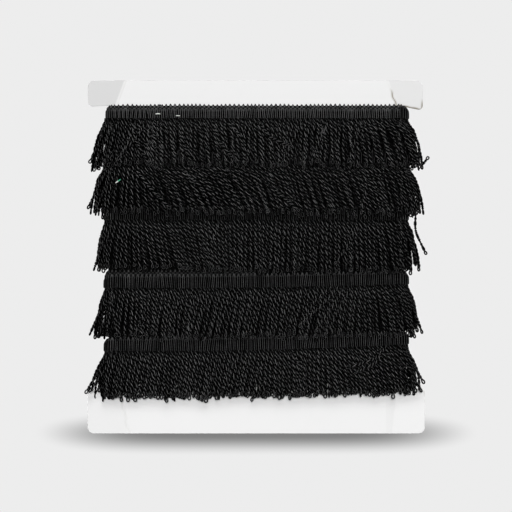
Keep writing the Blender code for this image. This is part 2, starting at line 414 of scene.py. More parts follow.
@dataclass(frozen=True)
class Cord:
    """A cord of two plies twisted together, doubled into a loop at its end."""

    radius: float = 1.22 * MM
    ply_radius: float = 0.60 * MM
    waist: float = 0.30
    shoulder: float = math.radians(30.0)
    half_twist: float = 3.6 * MM
    next_turn: tuple[float, float] = (1.1, 0.8)
    pace: float = 0.05
    slip: float = 0.6
    slip_wave: float = 11 * MM
    tip_size: float = 0.70
    tip_run: float = 1.6 * MM
    # Painted shade near the root: how dark the root is painted, and over what length that fades.
    root_shade: float = 0.3
    root_run: float = 5 * MM
    rings: int = 29
    loop_rings: int = 10
    loop_sides: int = 6
    loop_length: float = 3.4 * MM
    loop_lengths: tuple[float, float] = (0.8, 1.15)
    loop_width: float = 1.25 * MM
    loop_widths: tuple[float, float] = (0.75, 1.2)
    loop_overlap: float = 0.3 * MM
    loop_turn: float = 0.55

    def outline(self) -> tuple[Array, Array]:
        """The section: two plies with a groove between them.

        Returns:
            The angles and the radii of its points.
        """
        angle = np.array([-self.shoulder, self.shoulder, math.pi / 2])
        radius = self.radius * np.array([1.0, 1.0, self.waist])
        return np.concatenate([angle, angle + math.pi]), np.tile(radius, 2)

    def strands(self, centre: Array, outward: Array, tone: Array, rng: Random) -> Shell:
        """Twisted cords along their centre lines, each with its loop.

        A ring's points stand round the centre line at the section's angles, turned back by half a turn for
        each half twist, so the plies run down to the right. The cord narrows where the loop begins. Its
        shade is painted darker near the root, as painted shade under the heading and the loops above.

        Args:
            centre: (n, m, 3), the centre lines.
            outward: (n, 3), the way out from the card at each cord.
            tone: (n,), each cord's shade.
            rng: the source of the twist's start and the loop's turn.

        Returns:
            The cords as one shell.
        """
        count = len(centre)
        forward = unit(np.gradient(centre, axis=1))
        out = outward[:, None, :]
        normal = unit(out - (out * forward).sum(-1, keepdims=True) * forward)
        side = np.cross(forward, normal)
        steps = np.linalg.norm(np.diff(centre, axis=1), axis=-1)
        along = np.concatenate([np.zeros((count, 1)), np.cumsum(steps, axis=1)], axis=1)
        angle, radius = self.outline()
        start = np.cumsum(rng.normal(*self.next_turn, count))
        pace = rng.normal(1, self.pace, count)[:, None]
        slip = self.slip * np.sin(TURN * (along / self.slip_wave + rng.uniform(0, 1, (count, 1))))
        turn = start[:, None] + slip - math.pi * pace * along / self.half_twist
        around = turn[:, :, None] + angle
        narrowed = self.tip_size + (1 - self.tip_size) * smooth((along[:, -1:] - along) / self.tip_run)
        reach = radius * narrowed[:, :, None]
        rings = (
            centre[:, :, None, :]
            + (reach * np.cos(around))[..., None] * normal[:, :, None, :]
            + (reach * np.sin(around))[..., None] * side[:, :, None, :]
        )
        # Painted shade: each cord is painted darker near its root.
        shades = tone[:, None] * (self.root_shade + (1 - self.root_shade) * smooth(along / self.root_run))
        # The marks tell the finish which way each ply faces the open side, for its painted highlight.
        free = unit(outward + np.hypot(outward[:, :1], outward[:, 1:2]) * Z_AXIS)
        facing, aside = (free[:, None, :] * normal).sum(-1), (free[:, None, :] * side).sum(-1)
        ply = (turn - np.arctan2(aside, facing))[..., None]
        marks = shades[..., None], np.cos(ply), np.sin(ply)
        texture_start = -self.shoulder / TURN
        cords = sweep(rings, along + rng.uniform(0, 2, (count, 1)), marks, False, texture_start)
        tip = centre[:, -1], forward[:, -1], normal[:, -1], side[:, -1]
        return Shell.join([cords, self.loops(*tip, free, tone, rng)])

    def loops(
        self, at: Array, down: Array, out: Array, side: Array, free: Array, tone: Array, rng: Random
    ) -> Shell:
        """The loop at each cord's end: a round tube along a drop-shaped ring.

        The ring's line is length (1 - cos t) down the cord and width sin t (0.6 + 0.4 sin^2(t/2)) across it.

        Args:
            at: (n, 3), the cord's end.
            down: (n, 3), the way that the cord points there.
            out: (n, 3), the way out from the card, square to it.
            side: (n, 3), square to both.
            free: (n, 3), the way that is open to the light.
            tone: (n,), each cord's shade.
            rng: the source of each loop's turn and size.

        Returns:
            The loops as one shell.
        """
        count = len(at)
        t = np.arange(self.loop_rings) / self.loop_rings * TURN
        facing = rng.normal(0, self.loop_turn, count)[:, None]
        across = unit(np.cos(facing) * side + np.sin(facing) * out)
        plane = np.cross(across, down)
        length = self.loop_length * rng.uniform(*self.loop_lengths, count)[:, None, None] / 2
        width = self.loop_width * rng.uniform(*self.loop_widths, count)[:, None, None]
        fall = length * (1 - np.cos(t))[None, :, None] - self.loop_overlap
        sway = width * (np.sin(t) * (0.6 + 0.4 * np.sin(t / 2) ** 2))[None, :, None]
        line = at[:, None, :] + fall * down[:, None, :] + sway * across[:, None, :]
        ahead = unit(np.roll(line, -1, axis=1) - np.roll(line, 1, axis=1))
        lift = np.broadcast_to(plane[:, None, :], line.shape)
        aside = np.cross(ahead, lift)
        angle = (np.arange(self.loop_sides) / self.loop_sides * TURN)[:, None]
        normal = np.cos(angle) * lift[:, :, None, :] + np.sin(angle) * aside[:, :, None, :]
        rings = line[:, :, None, :] + self.ply_radius * normal
        open_side = (plane * free).sum(-1)[:, None, None]
        along = t * self.loop_length + rng.uniform(0, 2, (count, 1))
        return sweep(rings, along, (tone[:, None, None], open_side, np.zeros(1)), True)


@dataclass(frozen=True)
class Hang:
    """How a row of cords hangs: its depths out from the card's mid-plane and how unruly it is."""

    root_depth: float = 5.9 * MM
    lie_depth: float = 8.6 * MM
    tip_depth: float = 8.7 * MM
    depth_spread: float = 0.3 * MM
    layer_gap: float = 1.3 * MM
    rise: float = 13.0 * MM
    tip_from: float = 0.45
    tip_run: float = 0.4
    tuck: float = 0.8 * MM
    clump: float = 0.02
    jitter: float = 0.012
    most_lean: float = 1.3
    uneven: float = 1.2 * MM
    edge_curl: float = 1.0
    edge_from: float = 92 * MM
    edge_run: float = 16 * MM
    pitch: float = 1.7 * MM
    sway: float = 0.05
    sway_wave: float = 24 * MM
    sway_shift: tuple[float, float, float] = (45 * MM, 1.6, 0.25)
    sway_swell: tuple[float, float] = (30 * MM, 0.4)
    flare: float = 0.0
    flares: tuple[float, float] = (0.35, 1.1)
    flare_fade: float = 2.2
    settle: float = 3.5 * MM
    steepest: float = 0.94
    least_fall: float = 0.04

    def lines(
        self,
        winding: Winding,
        place: Array,
        length: Array,
        lean: Array,
        curl: float,
        samples: int,
        rng: Random,
    ) -> Array:
        """The cords' centre lines, every second one lying beneath its neighbours.

        A cord's slope across the card is the sine of its lean, reached in its first few millimetres, plus a
        slow sway. Its depth climbs from the root to where it lies over what is beneath. What is left of
        each step goes down the card, so that the cord keeps its length.

        Args:
            winding: the path that the heading follows.
            place: (n,), where each cord leaves the heading.
            length: (n,), the cords' lengths.
            lean: (n,), their leans in radians, to the right.
            curl: the share of the lean that is gone by the tips.
            samples: points on each line.
            rng: the source of what differs from cord to cord.

        Returns:
            (n, samples, 3), the lines.
        """
        count = len(place)
        step = (length / (samples - 1))[:, None]
        run = step * np.arange(samples)
        share = run / length[:, None]
        outward = winding.outward(place)
        middle = winding.middle(place, winding.top(place) - winding.heading + self.tuck)
        steady = np.clip(lean + rng.normal(0, self.jitter, count), -self.most_lean, self.most_lean)[:, None]
        edge = smooth((np.abs(middle[:, :1]) - self.edge_from) / self.edge_run)
        steady = np.sin(steady * (1 + (curl + self.edge_curl * edge) * (0.5 - share)))
        reach = np.cumsum(np.full(count, self.pitch))
        shift_wave, shift, jitter = self.sway_shift
        phase = drift(rng, reach, shift_wave, shift) + rng.normal(0, jitter, count)
        amount = self.sway * (1 + drift(rng, reach, *self.sway_swell))
        sway = amount[:, None] * np.sin(TURN * run / self.sway_wave + phase[:, None])
        flare = self.flare * np.sign(outward[:, :1]) * winding.edge(place)[:, None] ** 0.5
        flare = flare * rng.uniform(*self.flares, (count, 1)) * np.exp(-self.flare_fade * share)
        slope = (steady + flare) * (1 - np.exp(-run / self.settle)) + sway * smooth(share * 3)
        slope = np.clip(slope, -self.steepest, self.steepest)
        spread = rng.uniform(-1, 1, (count, 1)) * self.depth_spread
        spread = spread - self.layer_gap * (np.arange(count) % 2)[:, None]
        depth = self.root_depth + (self.lie_depth - self.root_depth + spread) * smooth(run / self.rise)
        depth = depth + (self.tip_depth - self.lie_depth) * smooth((share - self.tip_from) / self.tip_run)
        rise = np.gradient(depth, axis=1) / step
        fall = np.sqrt(np.clip(1 - slope**2 - rise**2, self.least_fall, 1))
        return (
            middle[:, None, :]
            + running(slope, step)[..., None] * X_AXIS
            - running(fall, step)[..., None] * Y_AXIS
            + depth[..., None] * outward[:, None, :]
        )


@dataclass(frozen=True)
class Skirt:
    """The cords that hang from the heading, row by row."""

    winding: Winding
    pitch: float = RIB
    loop_room: float = 3.2 * MM
    shorter: float = 0.0
    least_length: float = 3 * MM
    tones: tuple[float, float] = (0.8, 1.12)
    # Painted shade: cords lying beneath are darker by beneath, cords round the edges darker by bend_shade.
    beneath: float = 0.40
    bend_shade: float = 0.7
    bend_shade_from: float = 98 * MM
    bend_shade_run: float = 14 * MM
    clump_wave: float = 38 * MM
    uneven_wave: float = 50 * MM
    uneven_size: float = 0.5 * MM
    tucked_depth: float = 6.4 * MM
    top_cord: Cord = Cord(radius=1.50 * MM)
    side_cord: Cord = Cord(waist=0.5)
    back_cord: Cord = Cord(ply_radius=0.5 * MM, rings=22, loop_rings=8, loop_sides=4, loop_turn=0.15)
    low_cord: Cord = Cord(rings=16, loop_rings=6, loop_sides=3)
    bend_hang: Hang = Hang(6.2 * MM, 8.0 * MM, 8.2 * MM, jitter=0.09, uneven=2.2 * MM)
    # For each tier, how far its cords flare at the edges and how much shorter they are, in millimetres.
    bends: tuple[tuple[float, float], ...] = ((0.60, 0), (0.46, 1), (0.55, 1), (0.60, 0.5), (0.62, 3.5))
    inner_seed: int = 50

    def row(
        self,
        first: float,
        last: float,
        cord: Cord,
        hang: Hang,
        seed: int,
        lean: tuple[float, ...] | None = None,
        curl: float = 0.2,
        foot: tuple[float, ...] | None = None,
        shade: float = 1.0,
    ) -> Shell:
        """Cords an even distance apart along a stretch of the heading.

        Where a foot is given, each cord's length is put right by how far its line fell short of it.

        Args:
            first: the place where the row starts.
            last: the place where it ends.
            cord: the kind of cord.
            hang: how it hangs.
            seed: sets what differs from cord to cord.
            lean: their leans in degrees at LEAN_AT, or None for the bends.
            curl: the share of the lean that is gone by the tips.
            foot: the heights of the loops' lower edge at FOOT_AT in millimetres, or None for full length.
            shade: how light they are painted; below one it is painted shade.

        Returns:
            The row as one shell.
        """
        rng = np.random.default_rng(seed)
        ends = self.winding.walk(first, last, self.pitch)
        place = (ends[1:] + ends[:-1]) / 2
        count = len(place)
        x = self.winding.middle(place, np.zeros(count))[:, 0]
        degrees = np.interp(x, LEAN_AT, lean) if lean is not None else np.zeros(count)
        angle = np.radians(degrees) + drift(rng, x, self.clump_wave, hang.clump)
        uneven = rng.normal(0, hang.uneven, count) + drift(rng, x, self.uneven_wave, self.uneven_size)
        length = self.winding.skirt - self.loop_room - self.shorter + uneven
        how = (angle, curl, cord.rings)
        line = hang.lines(self.winding, place, length, *how, np.random.default_rng(seed + 1))
        if foot is not None:
            low = np.interp(x, FOOT_AT, np.array(foot) * MM) + uneven
            fallen = line[:, 0, 1] - line[:, -1, 1]
            wanted = line[:, 0, 1] - low - self.loop_room * fallen / length
            length = np.maximum(length * wanted / fallen, self.least_length)
            line = hang.lines(self.winding, place, length, *how, np.random.default_rng(seed + 1))
        # Painted shade: every second cord, lying beneath, and the cords round the edges are painted darker.
        shades = shade * rng.uniform(*self.tones, count) * np.where(np.arange(count) % 2, self.beneath, 1.0)
        outer = smooth((np.abs(x) - self.bend_shade_from) / self.bend_shade_run)
        shades = shades * (1 - (1 - self.bend_shade) * outer)
        return cord.strands(line, self.winding.outward(place), shades, rng)

    def bend(self, first: float, number: int, seed: int) -> Shell:
        """The cords round one edge of the card: an outer row, and a row beneath that flares less.

        Args:
            first: the place where the bend starts.
            number: the tier, from 1 at the top.
            seed: sets what differs from cord to cord.

        Returns:
            The two rows as one shell.
        """
        flare, shorter = self.bends[number - 1]
        narrow = replace(self, shorter=shorter * MM)
        outer = replace(self.bend_hang, flare=flare)
        inner = replace(outer, lie_depth=self.tucked_depth, tip_depth=self.tucked_depth, flare=flare / 2)
        hangs = ((outer, seed), (inner, seed + self.inner_seed))
        return Shell.join([narrow.row(first, first + 1, self.side_cord, *hang) for hang in hangs])


# Loose cords


def through(points: tuple[Point, ...], samples: int) -> Array:
    """A smooth line from a cord's points: even steps along the straight lines, then averaged along itself.

    Args:
        points: X, Y and depth of each, in millimetres.
        samples: how many points to make.

    Returns:
        (samples, 3), the line.
    """
    knots = np.array(points) * MM
    reached = np.concatenate([[0], np.cumsum(np.linalg.norm(np.diff(knots, axis=0), axis=1))])
    at = np.linspace(0, reached[-1], samples)
    line = np.stack([np.interp(at, reached, part) for part in knots.T], axis=-1)
    for _ in range(samples // 3):
        line[1:-1] = (line[:-2] + 2 * line[1:-1] + line[2:]) / 4
    return line


# Each as its points' X, Y and depth in millimetres, from the root to the tip.
STRAYS = (
    ((-118, 108.4, 6.5), (-123, 97, 8), (-132.2, 77.2, 7)),
    ((-117, 108.4, 6.5), (-120, 95, 9), (-128.2, 73.2, 9)),
    ((-118, 72.4, 6.5), (-124, 60, 8), (-133.2, 41.2, 7)),
    ((-117, 72.4, 6.5), (-121, 55, 9), (-127.4, 38, 9)),
    ((-118, 27.6, 6.5), (-122, 12, 8), (-129, -8.4, 7)),
    ((-116, 27.6, 6.5), (-120, 10, 9), (-124.2, -8.4, 10)),
    ((-118, -26.8, 6.5), (-124, -42, 8), (-132.2, -60.4, 7)),
    ((-117, -26.8, 6.5), (-118, -45, 9), (-125.5, -62, 9)),
    ((-118, -76.4, 6.5), (-126, -92, 8), (-135, -106.8, 7)),
    ((-116, -76.4, 6.5), (-121, -91, 9), (-131.4, -105.2, 8)),
    ((118, 108, 6.5), (121, 92, 9), (127, 74.5, 10), (131.5, 71.5, 10), (136, 77.5, 10)),
    ((118, 109, 6.5), (124.5, 99, 8), (130.2, 89, 8), (129.8, 75.5, 8)),
    ((118, 108, 6.5), (122.5, 98, 8.5), (127.6, 88, 8.5), (127, 74, 8.5)),
    ((117, 108, 6.5), (120.5, 96, 9), (124.8, 85, 9), (124.4, 72.5, 9)),
    ((117, 72.4, 6.5), (123, 55, 8), (127.8, 36, 8), (126.4, 21, 7), (134.8, 4, 7)),
    ((118, 73, 6.5), (126.6, 63, 8), (130.6, 51, 8), (130, 38.5, 8)),
    ((118, 72.4, 6.5), (125, 62, 8.5), (128.4, 50, 8.5), (128, 37, 8.5)),
    ((117.5, 72.4, 6.5), (123.4, 62, 8.8), (126.4, 50, 8.8), (125.8, 36, 8.8)),
    ((117, 72.4, 6.5), (121, 62, 9), (124, 50, 9), (123.4, 35, 9)),
    ((118, 27.6, 6.5), (123, 12, 8), (129.4, -5.6, 7)),
    ((118, -23, 6.5), (125, -40, 8), (131.8, -58.8, 7)),
    ((117, -23, 6.5), (122, -40, 9), (126, -62, 9)),
    ((118, -72, 6.5), (125, -86, 8), (132.6, -98.6, 7)),
    ((118, -72, 6.5), (125, -82, 8), (129.4, -93, 8), (130.4, -104, 8)),
    ((118, -72, 6.5), (122.5, -82, 9), (126.4, -93, 9), (127, -105.5, 9)),
    ((117, -72, 6.5), (122, -90, 9), (130.8, -105.6, 8)),
)
CROSSING = (
    ((84, 108, 7), (80, 95, 11), (74, 78, 11.6)),
    ((58, 108, 7), (50, 92, 11), (45, 76, 11.4)),
    ((36, 108, 7), (31, 96, 10.8), (22, 79, 11.4)),
    ((-20, 108, 7), (-12, 94, 10.6), (-9, 76, 11.4)),
    ((-96, 108, 7), (-101, 93, 11), (-109, 80, 11.6)),
    ((-88, 108, 7), (-95, 95, 11.2), (-106, 84, 12)),
    ((-100, 108, 7), (-96, 92, 11.4), (-86, 75, 11.8)),
    ((-34, 108, 7), (-30, 92, 11), (-18, 78, 11.6)),
    ((2, 108, 7), (10, 96, 11), (26, 88, 11.6)),
    ((50, 108, 7), (56, 92, 10.8), (54, 74, 11.4)),
    ((-62, 108, 7), (-60, 94, 10.6), (-52, 76, 11.4)),
    ((-96, 70, 7), (-86, 56, 10.4), (-70, 40, 10.8)),
    ((-60, 70, 7), (-42, 54, 10.4), (-36, 37, 10.8)),
    ((10, 70, 7), (14, 54, 10.4), (32, 38, 10.8)),
    ((86, 70, 7), (88, 54, 10.4), (84, 37, 10.8)),
    ((80, 26, 7), (74, 10, 10.6), (64, -4, 10.8)),
    ((-30, 26, 7), (-36, 10, 10.4), (-34, -8, 10.8)),
    ((66, -24, 7), (55, -36, 10.8), (40, -50, 10.8)),
    ((70, -24, 7), (62, -38, 11), (48, -58, 11)),
    ((60, -24, 7), (46, -36, 10.6), (36, -54, 10.6)),
    ((76, -24, 7), (66, -42, 10.8), (57, -60, 10.8)),
    ((-90, -26, 7), (-88, -42, 10.4), (-96, -60, 10.6)),
    ((104, -72, 7), (94, -82, 10.8), (75, -88, 11)),
    ((100, -73, 7), (97, -84, 10.8), (80, -92, 11.2)),
    ((-10, -76, 7), (-22, -90, 10.4), (-26, -108, 10.6)),
    ((30, -76, 7), (36, -92, 10.4), (32, -108, 10.6)),
)
THICK = (((-80.8, 109.6, 7.4), (-81.4, 99, 11.6), (-80.4, 89, 12.4)),)


@dataclass(frozen=True)
class LooseCords:
    """The cords that stray past the sides, those that lie across the others, and a thicker one."""

    winding: Winding
    stray: Cord = Cord(waist=0.55, rings=44)
    crossing: Cord = Cord(radius=1.4 * MM, rings=44)
    thick: Cord = Cord(
        radius=1.9 * MM, half_twist=3.1 * MM, rings=44, loop_length=3.2 * MM, loop_width=1.6 * MM
    )
    shades: tuple[float, float, float] = (0.55, 1.0, 1.3)
    tones: tuple[float, float] = (0.8, 1.2)

    def shell(self) -> Shell:
        """The cords, each along its route.

        Returns:
            The cords as one shell.
        """
        rng = np.random.default_rng(Seed.LOOSE)
        cords = self.stray, self.crossing, self.thick
        shells = []
        for routes, cord, shade in zip((STRAYS, CROSSING, THICK), cords, self.shades):
            lines = np.stack([through(points, cord.rings) for points in routes])
            lines[..., 2] += self.winding.mid_height
            outward = np.broadcast_to(Z_AXIS, (len(lines), 3))
            shells.append(cord.strands(lines, outward, shade * rng.uniform(*self.tones, len(lines)), rng))
        return Shell.join(shells)


# The heading

# The section of the band, from its upper edge down its face: at each row of points how far down it is in
# millimetres, the shares of the thickness, scallop, rib and stitch, and how far on the stitch is, in waves.
UPPER_ROWS = ((0.9, 0.00, 0.2, 0, 0, 0), (0.0, 0.45, 1.0, 0, 0, 0))
LOWER_ROWS = (
    (9.2, 1.00, 0, 1.0, 0, 0),
    (10.2, 0.95, 0, 0.9, 0, 0),
    (10.8, 0.40, 0, 0, 0, 0),
    (10.5, 0.00, 0, 0, 0, 0),
)
DOTTED_ROWS = (
    (0.5, 0.80, 1.0, 0, 0, 0.25),
    (1.4, 1.00, 0.5, 0, 1.0, 0.25),
    (1.9, 0.95, 0.1, 0, 0.2, 0.5),
    (2.2, 1.00, 0, 0, 1.0, 0.75),
    (2.9, 0.90, 0, 0, 0, 0),
    (3.2, 0.96, 0, 0.8, 0, 0),
    (5.0, 1.00, 0, 1.0, 0, 0),
    (7.2, 1.00, 0, 1.0, 0, 0),
)
PLAIN_ROWS = (
    (0.3, 0.85, 0.9, 0, 1.0, 0.25),
    (0.9, 1.00, 0.5, 0.6, 0.8, 0.25),
    (1.8, 1.00, 0, 1.0, 0, 0),
    (4.2, 1.00, 0, 1.0, 0, 0),
    (6.6, 1.00, 0, 1.0, 0, 0),
)


class Weave(Enum):
    """The band's section: with two rows of stitches that stand out as dots, or with ribs nearly all over."""

    DOTTED = (*UPPER_ROWS, *DOTTED_ROWS, *LOWER_ROWS)
    PLAIN = (*UPPER_ROWS, *PLAIN_ROWS, *LOWER_ROWS)


@dataclass(frozen=True)
class Heading:
    """The woven band that the cords hang from: ribs down its face, two rows of stitches over them and a
    scalloped upper edge."""

    winding: Winding
    rib: float = RIB
    inner: float = 4.9 * MM
    outer: float = 6.5 * MM
    rib_height: float = 0.8 * MM
    rib_round: float = 0.8
    rib_level: float = 0.6
    stitch_height: float = 0.36 * MM
    scallop: float = 2.7 * MM
    pair: float = 0.12 * MM
    uneven: tuple[float, float] = (23 * MM, 0.15)
    rise: tuple[float, float] = (60 * MM, 0.15 * MM)
    skew: tuple[float, float] = (70 * MM, 0.06)
    skewed_about: float = 6
    ease: float = 1.3 * MM
    eased_edge: tuple[float, float] = (1.8, 1.5)
    dip: float = 1.6 * MM
    dipped_to: float = 6
    tones: tuple[float, float] = (0.8, 1.2)
    # Rows with neither rib nor stitch, mostly at the rims, are painted nearly black: painted shade.
    rim_shade: float = 0.05
    foot_from: float = 10.0
    foot_shade: float = 0.2
    foot_arch: float = 0.6

    def band(
        self,
        first: float,
        last: float,
        samples: int,
        shade: float,
        weave: Weave,
        seed: int,
        lift: float = 0.0,
    ) -> Shell:
        """A stretch of the band, as one tube whose section is a table of rows.

        A point's depth is its share of the thickness, plus a rib's |cos| of the distance along, plus a
        stitch's cos at twice the wavelength. Its height is the upper edge, less the row's place, plus the
        scallop's arch over each pair of ribs. The ribs of a pair are drawn together by pair cos(distance),
        and all of them lean by a slow random skew. Its tone is painted: painted light on the ribs and on the
        stitches' crests, and painted shade, rim_shade, on the rows with neither.

        Args:
            first: the place where the stretch starts.
            last: the place where it ends.
            samples: columns of points to a rib.
            shade: how light its crests are painted, as painted light and shade.
            weave: its section.
            seed: sets the unevenness of the ribs.
            lift: how far above the trim's own edge it lies.

        Returns:
            The band.
        """
        rng = np.random.default_rng(seed)
        step = self.rib / samples
        place = self.winding.walk(first, last, step)
        along = np.arange(len(place)) * step
        down, share, scallop, rib, stitch, phase = np.array(weave.value).T
        turn = math.pi * along[:, None] / self.rib
        ribs = np.abs(np.cos(turn)) ** self.rib_round - self.rib_level
        stitches = np.cos(turn - TURN * phase)
        arches = np.abs(np.cos(turn / 2 - math.pi / 4))
        uneven = 1 + drift(rng, along, *self.uneven)[:, None]
        depth = self.inner + (self.outer - self.inner) * share
        depth = depth + uneven * (self.rib_height * rib * ribs + self.stitch_height * stitch * stitches / 2)
        bend = self.winding.edge(place)[:, None]
        swing, fade = self.eased_edge
        depth = depth + self.ease * bend * (1 - swing * np.exp(-down / fade))
        rise = drift(rng, along, *self.rise)[:, None]
        y = self.winding.top(place)[:, None] + lift + rise - down * MM
        y = y + self.scallop * scallop * (arches - 0.5)
        y = y - self.dip * bend**2 * smooth(1 - down / self.dipped_to)
        ahead = (place[-1] - place[0]) / (along[-1] - along[0])
        skew = drift(rng, along, *self.skew)[:, None] * (self.skewed_about - down) * MM
        shifted = np.clip(place[:, None] + (self.pair * np.cos(turn) + skew) * ahead, first, last)
        middle = self.winding.middle(shifted, np.zeros(shifted.shape))
        points = middle + depth[..., None] * self.winding.outward(shifted) + y[..., None] * Y_AXIS
        of_rib = np.arange(len(place)) // samples
        each = rng.uniform(*self.tones, len(place) // samples + 1)[of_rib][:, None]
        # Painted light on the ribs and on the stitches' crests; painted shade on the other rows.
        lights = rib * each + stitch * (0.5 + 0.5 * stitches) ** 2
        foot = self.foot_shade + (1 - self.foot_shade) * (arches > self.foot_arch)
        lights = np.where(rib + stitch > 0, lights, self.rim_shade)
        tone = shade * (lights * np.where(down > self.foot_from, foot, 1.0)) * uneven
        ribbed = np.broadcast_to(np.minimum(rib, 1.0), tone.shape)
        marks = tone[None, :, ::-1], ribbed[None, :, ::-1], np.zeros(1)
        return sweep(points[None, :, ::-1], along[None], marks, False)


# The turns beneath


@dataclass(frozen=True)
class TurnsBeneath:
    """The inner turns, pulled tight: a sleeve whose face is ribbed by the cords of the turn below, painted
    nearly black as painted shade under the outer cords.
    """

    winding: Winding
    inner: float = 1.05 * MM
    face: float = 3.5 * MM
    swell: float = 0.5 * MM
    relief: float = 0.8 * MM
    lean: float = 3 * MM
    pitch: float = 3.37 * MM
    bottom: float = -100.0 * MM
    down_tier: tuple[float, ...] = (0.0, 0.25, 0.5, 0.75, 0.97)
    samples: int = 3
    # Painted shade: the sleeve is painted nearly black.
    shade: float = 0.02

    def build(self, finish: Material) -> None:
        """A closed sleeve: five heights a tier down the outside and two inside, at each step round the card.

        The outside's depth is the face plus a swell towards each tier's lower edge plus |cos| of the
        distance along for the cords, which lean with the depth of the row.

        Args:
            finish: the yarn.
        """
        tops = np.array([min(tier.left, tier.right) for tier in TIERS] + [self.bottom])
        rows = (tops[:-1, None] + np.diff(tops)[:, None] * self.down_tier).ravel()
        shares = np.tile(self.down_tier, len(TIERS))
        place = self.winding.walk(0.0, 4.0, self.pitch / self.samples)[:-1]
        along = np.arange(len(place)) * self.pitch / self.samples
        turn = math.pi * (along[:, None] + self.lean * shares) / self.pitch
        depth = self.face + self.swell * shares + self.relief * (np.abs(np.cos(turn)) - 0.5)
        depth = np.concatenate([depth, np.full((len(place), 2), self.inner)], axis=1)
        y = np.concatenate([rows, rows[[-1, 0]]])
        outward = self.winding.outward(place)
        middle = self.winding.middle(place, np.zeros(len(place)))
        points = middle[:, None, :] + depth[..., None] * outward[:, None, :] + y[None, :, None] * Y_AXIS
        marks = np.full(1, self.shade), np.zeros(1), np.zeros(1)
        shell = sweep(points[None, :, ::-1], along[None], marks, True)
        shell.to_object("turns_beneath", finish, ("under_turns",))


# Threads


@dataclass(frozen=True)
class Stitch:
    """A short end of sewing thread, lying along a route in X, Y and depth."""

    name: str
    route: tuple[Point, ...]
    radius: float
    dyed: float = 0.0
    rings: int = 17
    sides: int = 10
    end_power: int = 6
    end_size: float = 0.06
    dye_edge: float = 6

    def build(self, winding: Winding, finish: Material) -> None:
        """A round tube whose radius is its full one times (1 - |2 s - 1|^6)^(1/2) at the share s along it.

        Args:
            winding: gives the card's mid-plane.
            finish: the thread.
        """
        line = through(self.route, self.rings)
        line[:, 2] += winding.mid_height
        forward = unit(np.gradient(line, axis=0))
        side = unit(np.cross(forward, Z_AXIS))
        normal = np.cross(side, forward)
        share = np.linspace(0, 1, self.rings)
        size = self.radius * np.sqrt(np.maximum(1 - np.abs(2 * share - 1) ** self.end_power, self.end_size))
        angle = (np.arange(self.sides) / self.sides * TURN)[:, None]
        spokes = np.cos(angle) * normal[:, None, :] + np.sin(angle) * side[:, None, :]
        rings = line[:, None, :] + size[:, None, None] * spokes
        reached = np.cumsum(np.linalg.norm(np.gradient(line, axis=0), axis=-1))
        tone = smooth((share - 1 + self.dyed) * self.dye_edge + 0.5) * (self.dyed > 0)
        marks = tone[None, :, None], np.zeros(1), np.zeros(1)
        sweep(rings[None, :, ::-1], reached[None], marks, False).to_object(self.name, finish, ())


STITCHES = (
    Stitch("tack_left", ((-80.5, 113.9, 7.1), (-78.6, 114.2, 7.5), (-76.7, 114.0, 7.1)), 0.48 * MM),
    Stitch("tack_right", ((-64.3, 112.5, 7.1), (-62.6, 112.6, 7.4), (-60.9, 112.4, 7.1)), 0.36 * MM),
    Stitch("thread_end", ((-112.4, 58.6, 10.9), (-110.8, 59.6, 11.5), (-108.2, 61.6, 11.0)), 0.48 * MM, 0.5),
)


# The card


class Tab(NamedTuple):
    """A corner of the card: its crease runs from the card's edge at crease_x to the notch's corner, the
    tab beyond it is painted lighter or darker by shade, as painted shade and light for its fold, the
    notch's edge slants out by slant, the face layer is frayed there by a share, and grey lines of
    painted shade run along the crease: crease_shade all its length and split over its lower half."""

    side: int
    outer_x: float
    top: bool
    crease_x: float
    bend: float
    shade: float
    slant: float
    frayed: float
    crease_shade: float
    split: float


# Each tab's shade is painted shade or painted light beyond its crease, for how its fold meets the light.
TABS = (
    Tab(-1, 135.2 * MM, True, 105.0 * MM, 9.0, 0.822, 0.8 * MM, 0.0, 0.13, 0.0),
    Tab(1, 133.6 * MM, True, 105.4 * MM, 8.0, 0.924, 4.0 * MM, 1.5, 0.05, 1.1),
    Tab(1, 135.2 * MM, False, 108.0 * MM, 2.0, 1.045, 0.0, 0.4, 0.0, 0.0),
    Tab(-1, 135.2 * MM, False, 102.6 * MM, 3.0, 1.015, 0.0, 0.0, 0.05, 0.0),
)


@dataclass
class Face:
    """The card's face: its points, their grey of wear and painted shade, painted lightness and drop."""

    x: Array
    y: Array
    z: Array
    wear_and_shade: Array
    shade: Array
    drop: Array


